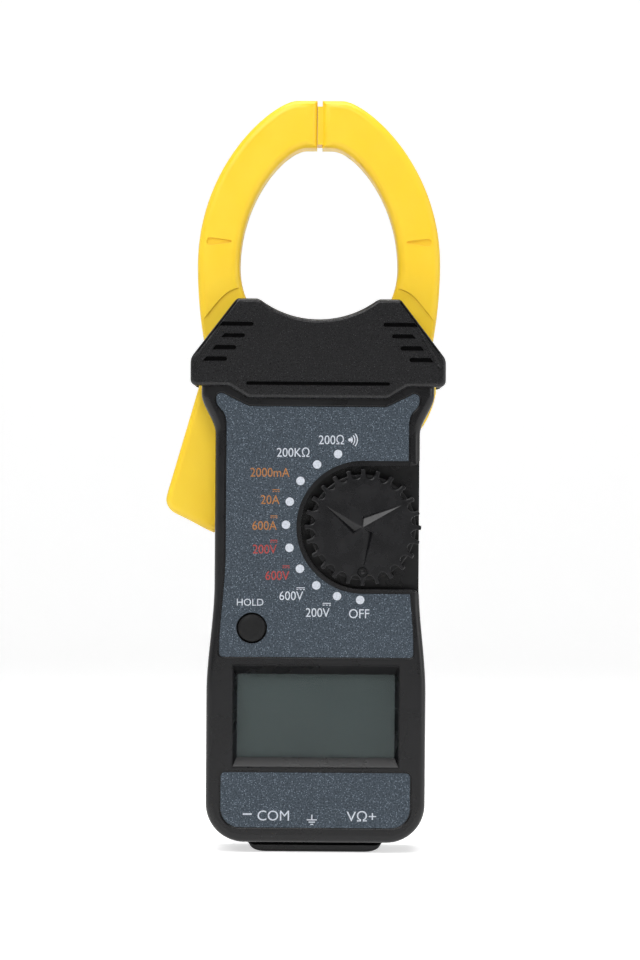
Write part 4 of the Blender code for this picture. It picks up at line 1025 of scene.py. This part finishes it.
def levers():
    top, half = 149.7, span("trigger")[1].y
    grip_low = span("trigger")[0]
    outline = [(-37.5, top), (-37.5, 146.0), (grip_low.x + 0.62, 113.2)]
    outline += bezier((grip_low.x + 0.15, 111.5), (-48.1, 109.2), (-46.9, 107.0),
                      (-44.6, 105.8), 8)
    outline += bezier((-40.0, 103.6), (-37.0, 102.0), (-34.5, 100.6), (-32.6, 99.9), 6)
    outline += arc(-31.2, 102.2, 2.5, 240, 300, 3) + [(-28.6, 104.4), (-28.6, top)]
    grip = prism(outline, -half, half, front=2.2, back=2.2, steps=5)
    finish_piece(join(grip, lever_arm(-1)), "trigger_grip", "left_jaw", "jaw_abs",
                 LOOKS["jaw_abs"], "trigger")
    stub = [(28.6, 132.2), (31.2, 132.2)]
    stub += bezier((32.0, 132.3), (34.2, 135.0), (35.4, 138.0), (36.4, 141.0), 8)
    stub += [(37.1, 144.0), (37.1, top), (28.6, top)]
    right = prism(stub, -half, half, front=1.2, back=1.2, steps=3)
    finish_piece(join(right, lever_arm(1)), "right_jaw_lever", "right_jaw", "jaw_abs",
                 LOOKS["jaw_abs"], "right_lever")


# ---------------------------------------------------------------- sockets and carried nodes

def socket_block():
    low, high = span("socket_block")
    foot_top = BASE_Z - 0.3
    half = [(0, 0)] + bezier((15.4, 0), (18.4, 0.05), (19.9, 0.9), (20.4, 1.9), 8)
    half += [(FOOT_HALF, foot_top), (0, foot_top)]
    block = prism(mirrored(half), low.y, high.y, front=0.9, back=0.9, steps=4)
    join(block, box(1.8 - FOOT_HALF, FOOT_HALF - 1.8, low.y + 1, high.y - 1, 1.5, 6.6))
    join(block, box(-FOOT_HALF, FOOT_HALF, low.y, high.y, 5.6, high.z))
    for hand in ("com", "volt"):
        ends = span(f"{hand}_socket_sleeve")
        x, y = (ends[0].x + ends[1].x) / 2, (ends[0].y + ends[1].y) / 2
        cut(block, rod("Z", x, y, 3.5, -1, FAR, 40))
        rim = rod("Z", x, y, 4.1, -1, 0.35, 40, edge=0.3)
        cut(block, rim)
    finish_piece(block, "socket_housing", "meter_body", "case_abs", LOOKS["case_abs"],
                 "socket_block")


def dress_frame():
    """Every CAD node that still shows gets the material of its slot."""
    slots = {entry["node"]: entry["material_slot"] for entry in frame["record"]["subparts"]}
    for name, piece in frame["nodes"].items():
        look = LOOKS[slots[name]]
        if len(piece.material_slots) == 0:
            piece.data.materials.append(look)
        for place in piece.material_slots:
            place.material = look


# ---------------------------------------------------------------- stage

def studio():
    """A pale sweep with side walls, four soft lamps and the camera, level with the meter."""
    scene = bpy.context.scene
    bm = bmesh.new()
    wide, near, far, tall, bend = 4.0, -2.0, 1.6, 2.6, 0.5
    path = [(near, 0.0), (far, 0.0)]
    path += [(far + bend * sin(radians(a)), bend - bend * cos(radians(a)))
             for a in range(9, 91, 9)]
    path.append((far + bend, tall))
    verts = [bm.verts.new((-wide, y, z)) for y, z in path]
    edges = [bm.edges.new(pair) for pair in zip(verts, verts[1:])]
    grown = bmesh.ops.extrude_edge_only(bm, edges=edges)["geom"]
    moved = [v for v in grown if isinstance(v, bmesh.types.BMVert)]
    bmesh.ops.translate(bm, verts=moved, vec=(2 * wide, 0, 0))
    for x in (-wide, wide):
        bm.faces.new([bm.verts.new((x, y, z)) for y, z in ((near, 0), (far + bend, 0),
                                                           (far + bend, tall), (near, tall))])
    sweep = to_object(bm, "sweep")
    sweep.data.shade_smooth()
    made = bpy.data.materials.new("sweep_paper")
    made.use_nodes = True
    tree = made.node_tree
    shader = tree.nodes["Principled BSDF"]
    shader.inputs["Base Color"].default_value = linear("#F4F4F4")
    shader.inputs["Roughness"].default_value = 0.9
    rays = add(tree, "ShaderNodeLightPath")
    first = add(tree, "ShaderNodeMath", {"operation": "MAXIMUM"},
                in0=rays.outputs["Is Camera Ray"], in1=rays.outputs["Is Glossy Ray"])
    seen = add(tree, "ShaderNodeMath", {"operation": "MAXIMUM"}, in0=first.outputs["Value"],
               in1=rays.outputs["Is Transmission Ray"])
    glow = add(tree, "ShaderNodeMath", {"operation": "MULTIPLY", 1: 0.6}, in0=seen.outputs["Value"])
    shader.inputs["Emission Color"].default_value = (1, 1, 1, 1)
    tree.links.new(glow.outputs["Value"], shader.inputs["Emission Strength"])
    sweep.data.materials.append(made)

    world = bpy.data.worlds.new("studio_air")
    world.use_nodes = True
    world.node_tree.nodes["Background"].inputs["Color"].default_value = (1, 1, 1, 1)
    world.node_tree.nodes["Background"].inputs["Strength"].default_value = 0.15
    scene.world = world

    def lamp(name, place, target, size, power):
        light = bpy.data.lights.new(name, "AREA")
        light.shape = "RECTANGLE"
        light.size, light.size_y = size
        light.energy = power
        piece = bpy.data.objects.new(name, light)
        way = Vector(target) - Vector(place)
        piece.matrix_world = (Matrix.Translation(place)
                              @ way.to_track_quat("-Z", "Y").to_matrix().to_4x4())
        scene.collection.objects.link(piece)

    middle = (0, 0, 0.12)
    lamp("key", (-0.55, -0.9, 0.95), middle, (0.8, 0.6), 8.5)
    lamp("front", (0.1, -1.5, 1.05), middle, (0.6, 0.4), 5.5)
    lamp("fill", (1.35, -0.55, 0.5), middle, (0.8, 0.9), 5)
    lamp("top", (0.0, -0.05, 1.15), middle, (0.9, 0.5), 9)

    camera = bpy.data.cameras.new("camera")
    camera.sensor_width = 36.0
    distance, seen_height = 1.6, 0.3
    camera.lens = 36.0 * distance / seen_height
    camera.clip_start, camera.clip_end = 0.05, 20
    piece = bpy.data.objects.new("camera", camera)
    roll = radians(0.41)
    place = Vector((0.0008, FRONT_Y * MM - distance, 0.1167))
    piece.matrix_world = (Matrix.Translation(place) @ Matrix.Rotation(pi / 2, 4, "X")
                          @ Matrix.Rotation(roll, 4, "Z"))
    scene.collection.objects.link(piece)
    scene.camera = piece
    scene.view_settings.view_transform = "Standard"


studio()
dress_frame()
front_case()
rear_case()
battery_door()
guard(True)
guard(False)
labels()
print_labels()
display()
knob()
hold_button()
for jaw_hand, jaw_side in (("left", -1), ("right", 1)):
    jaw_shell(jaw_hand, jaw_side, True)
    jaw_shell(jaw_hand, jaw_side, False)
levers()
socket_block()
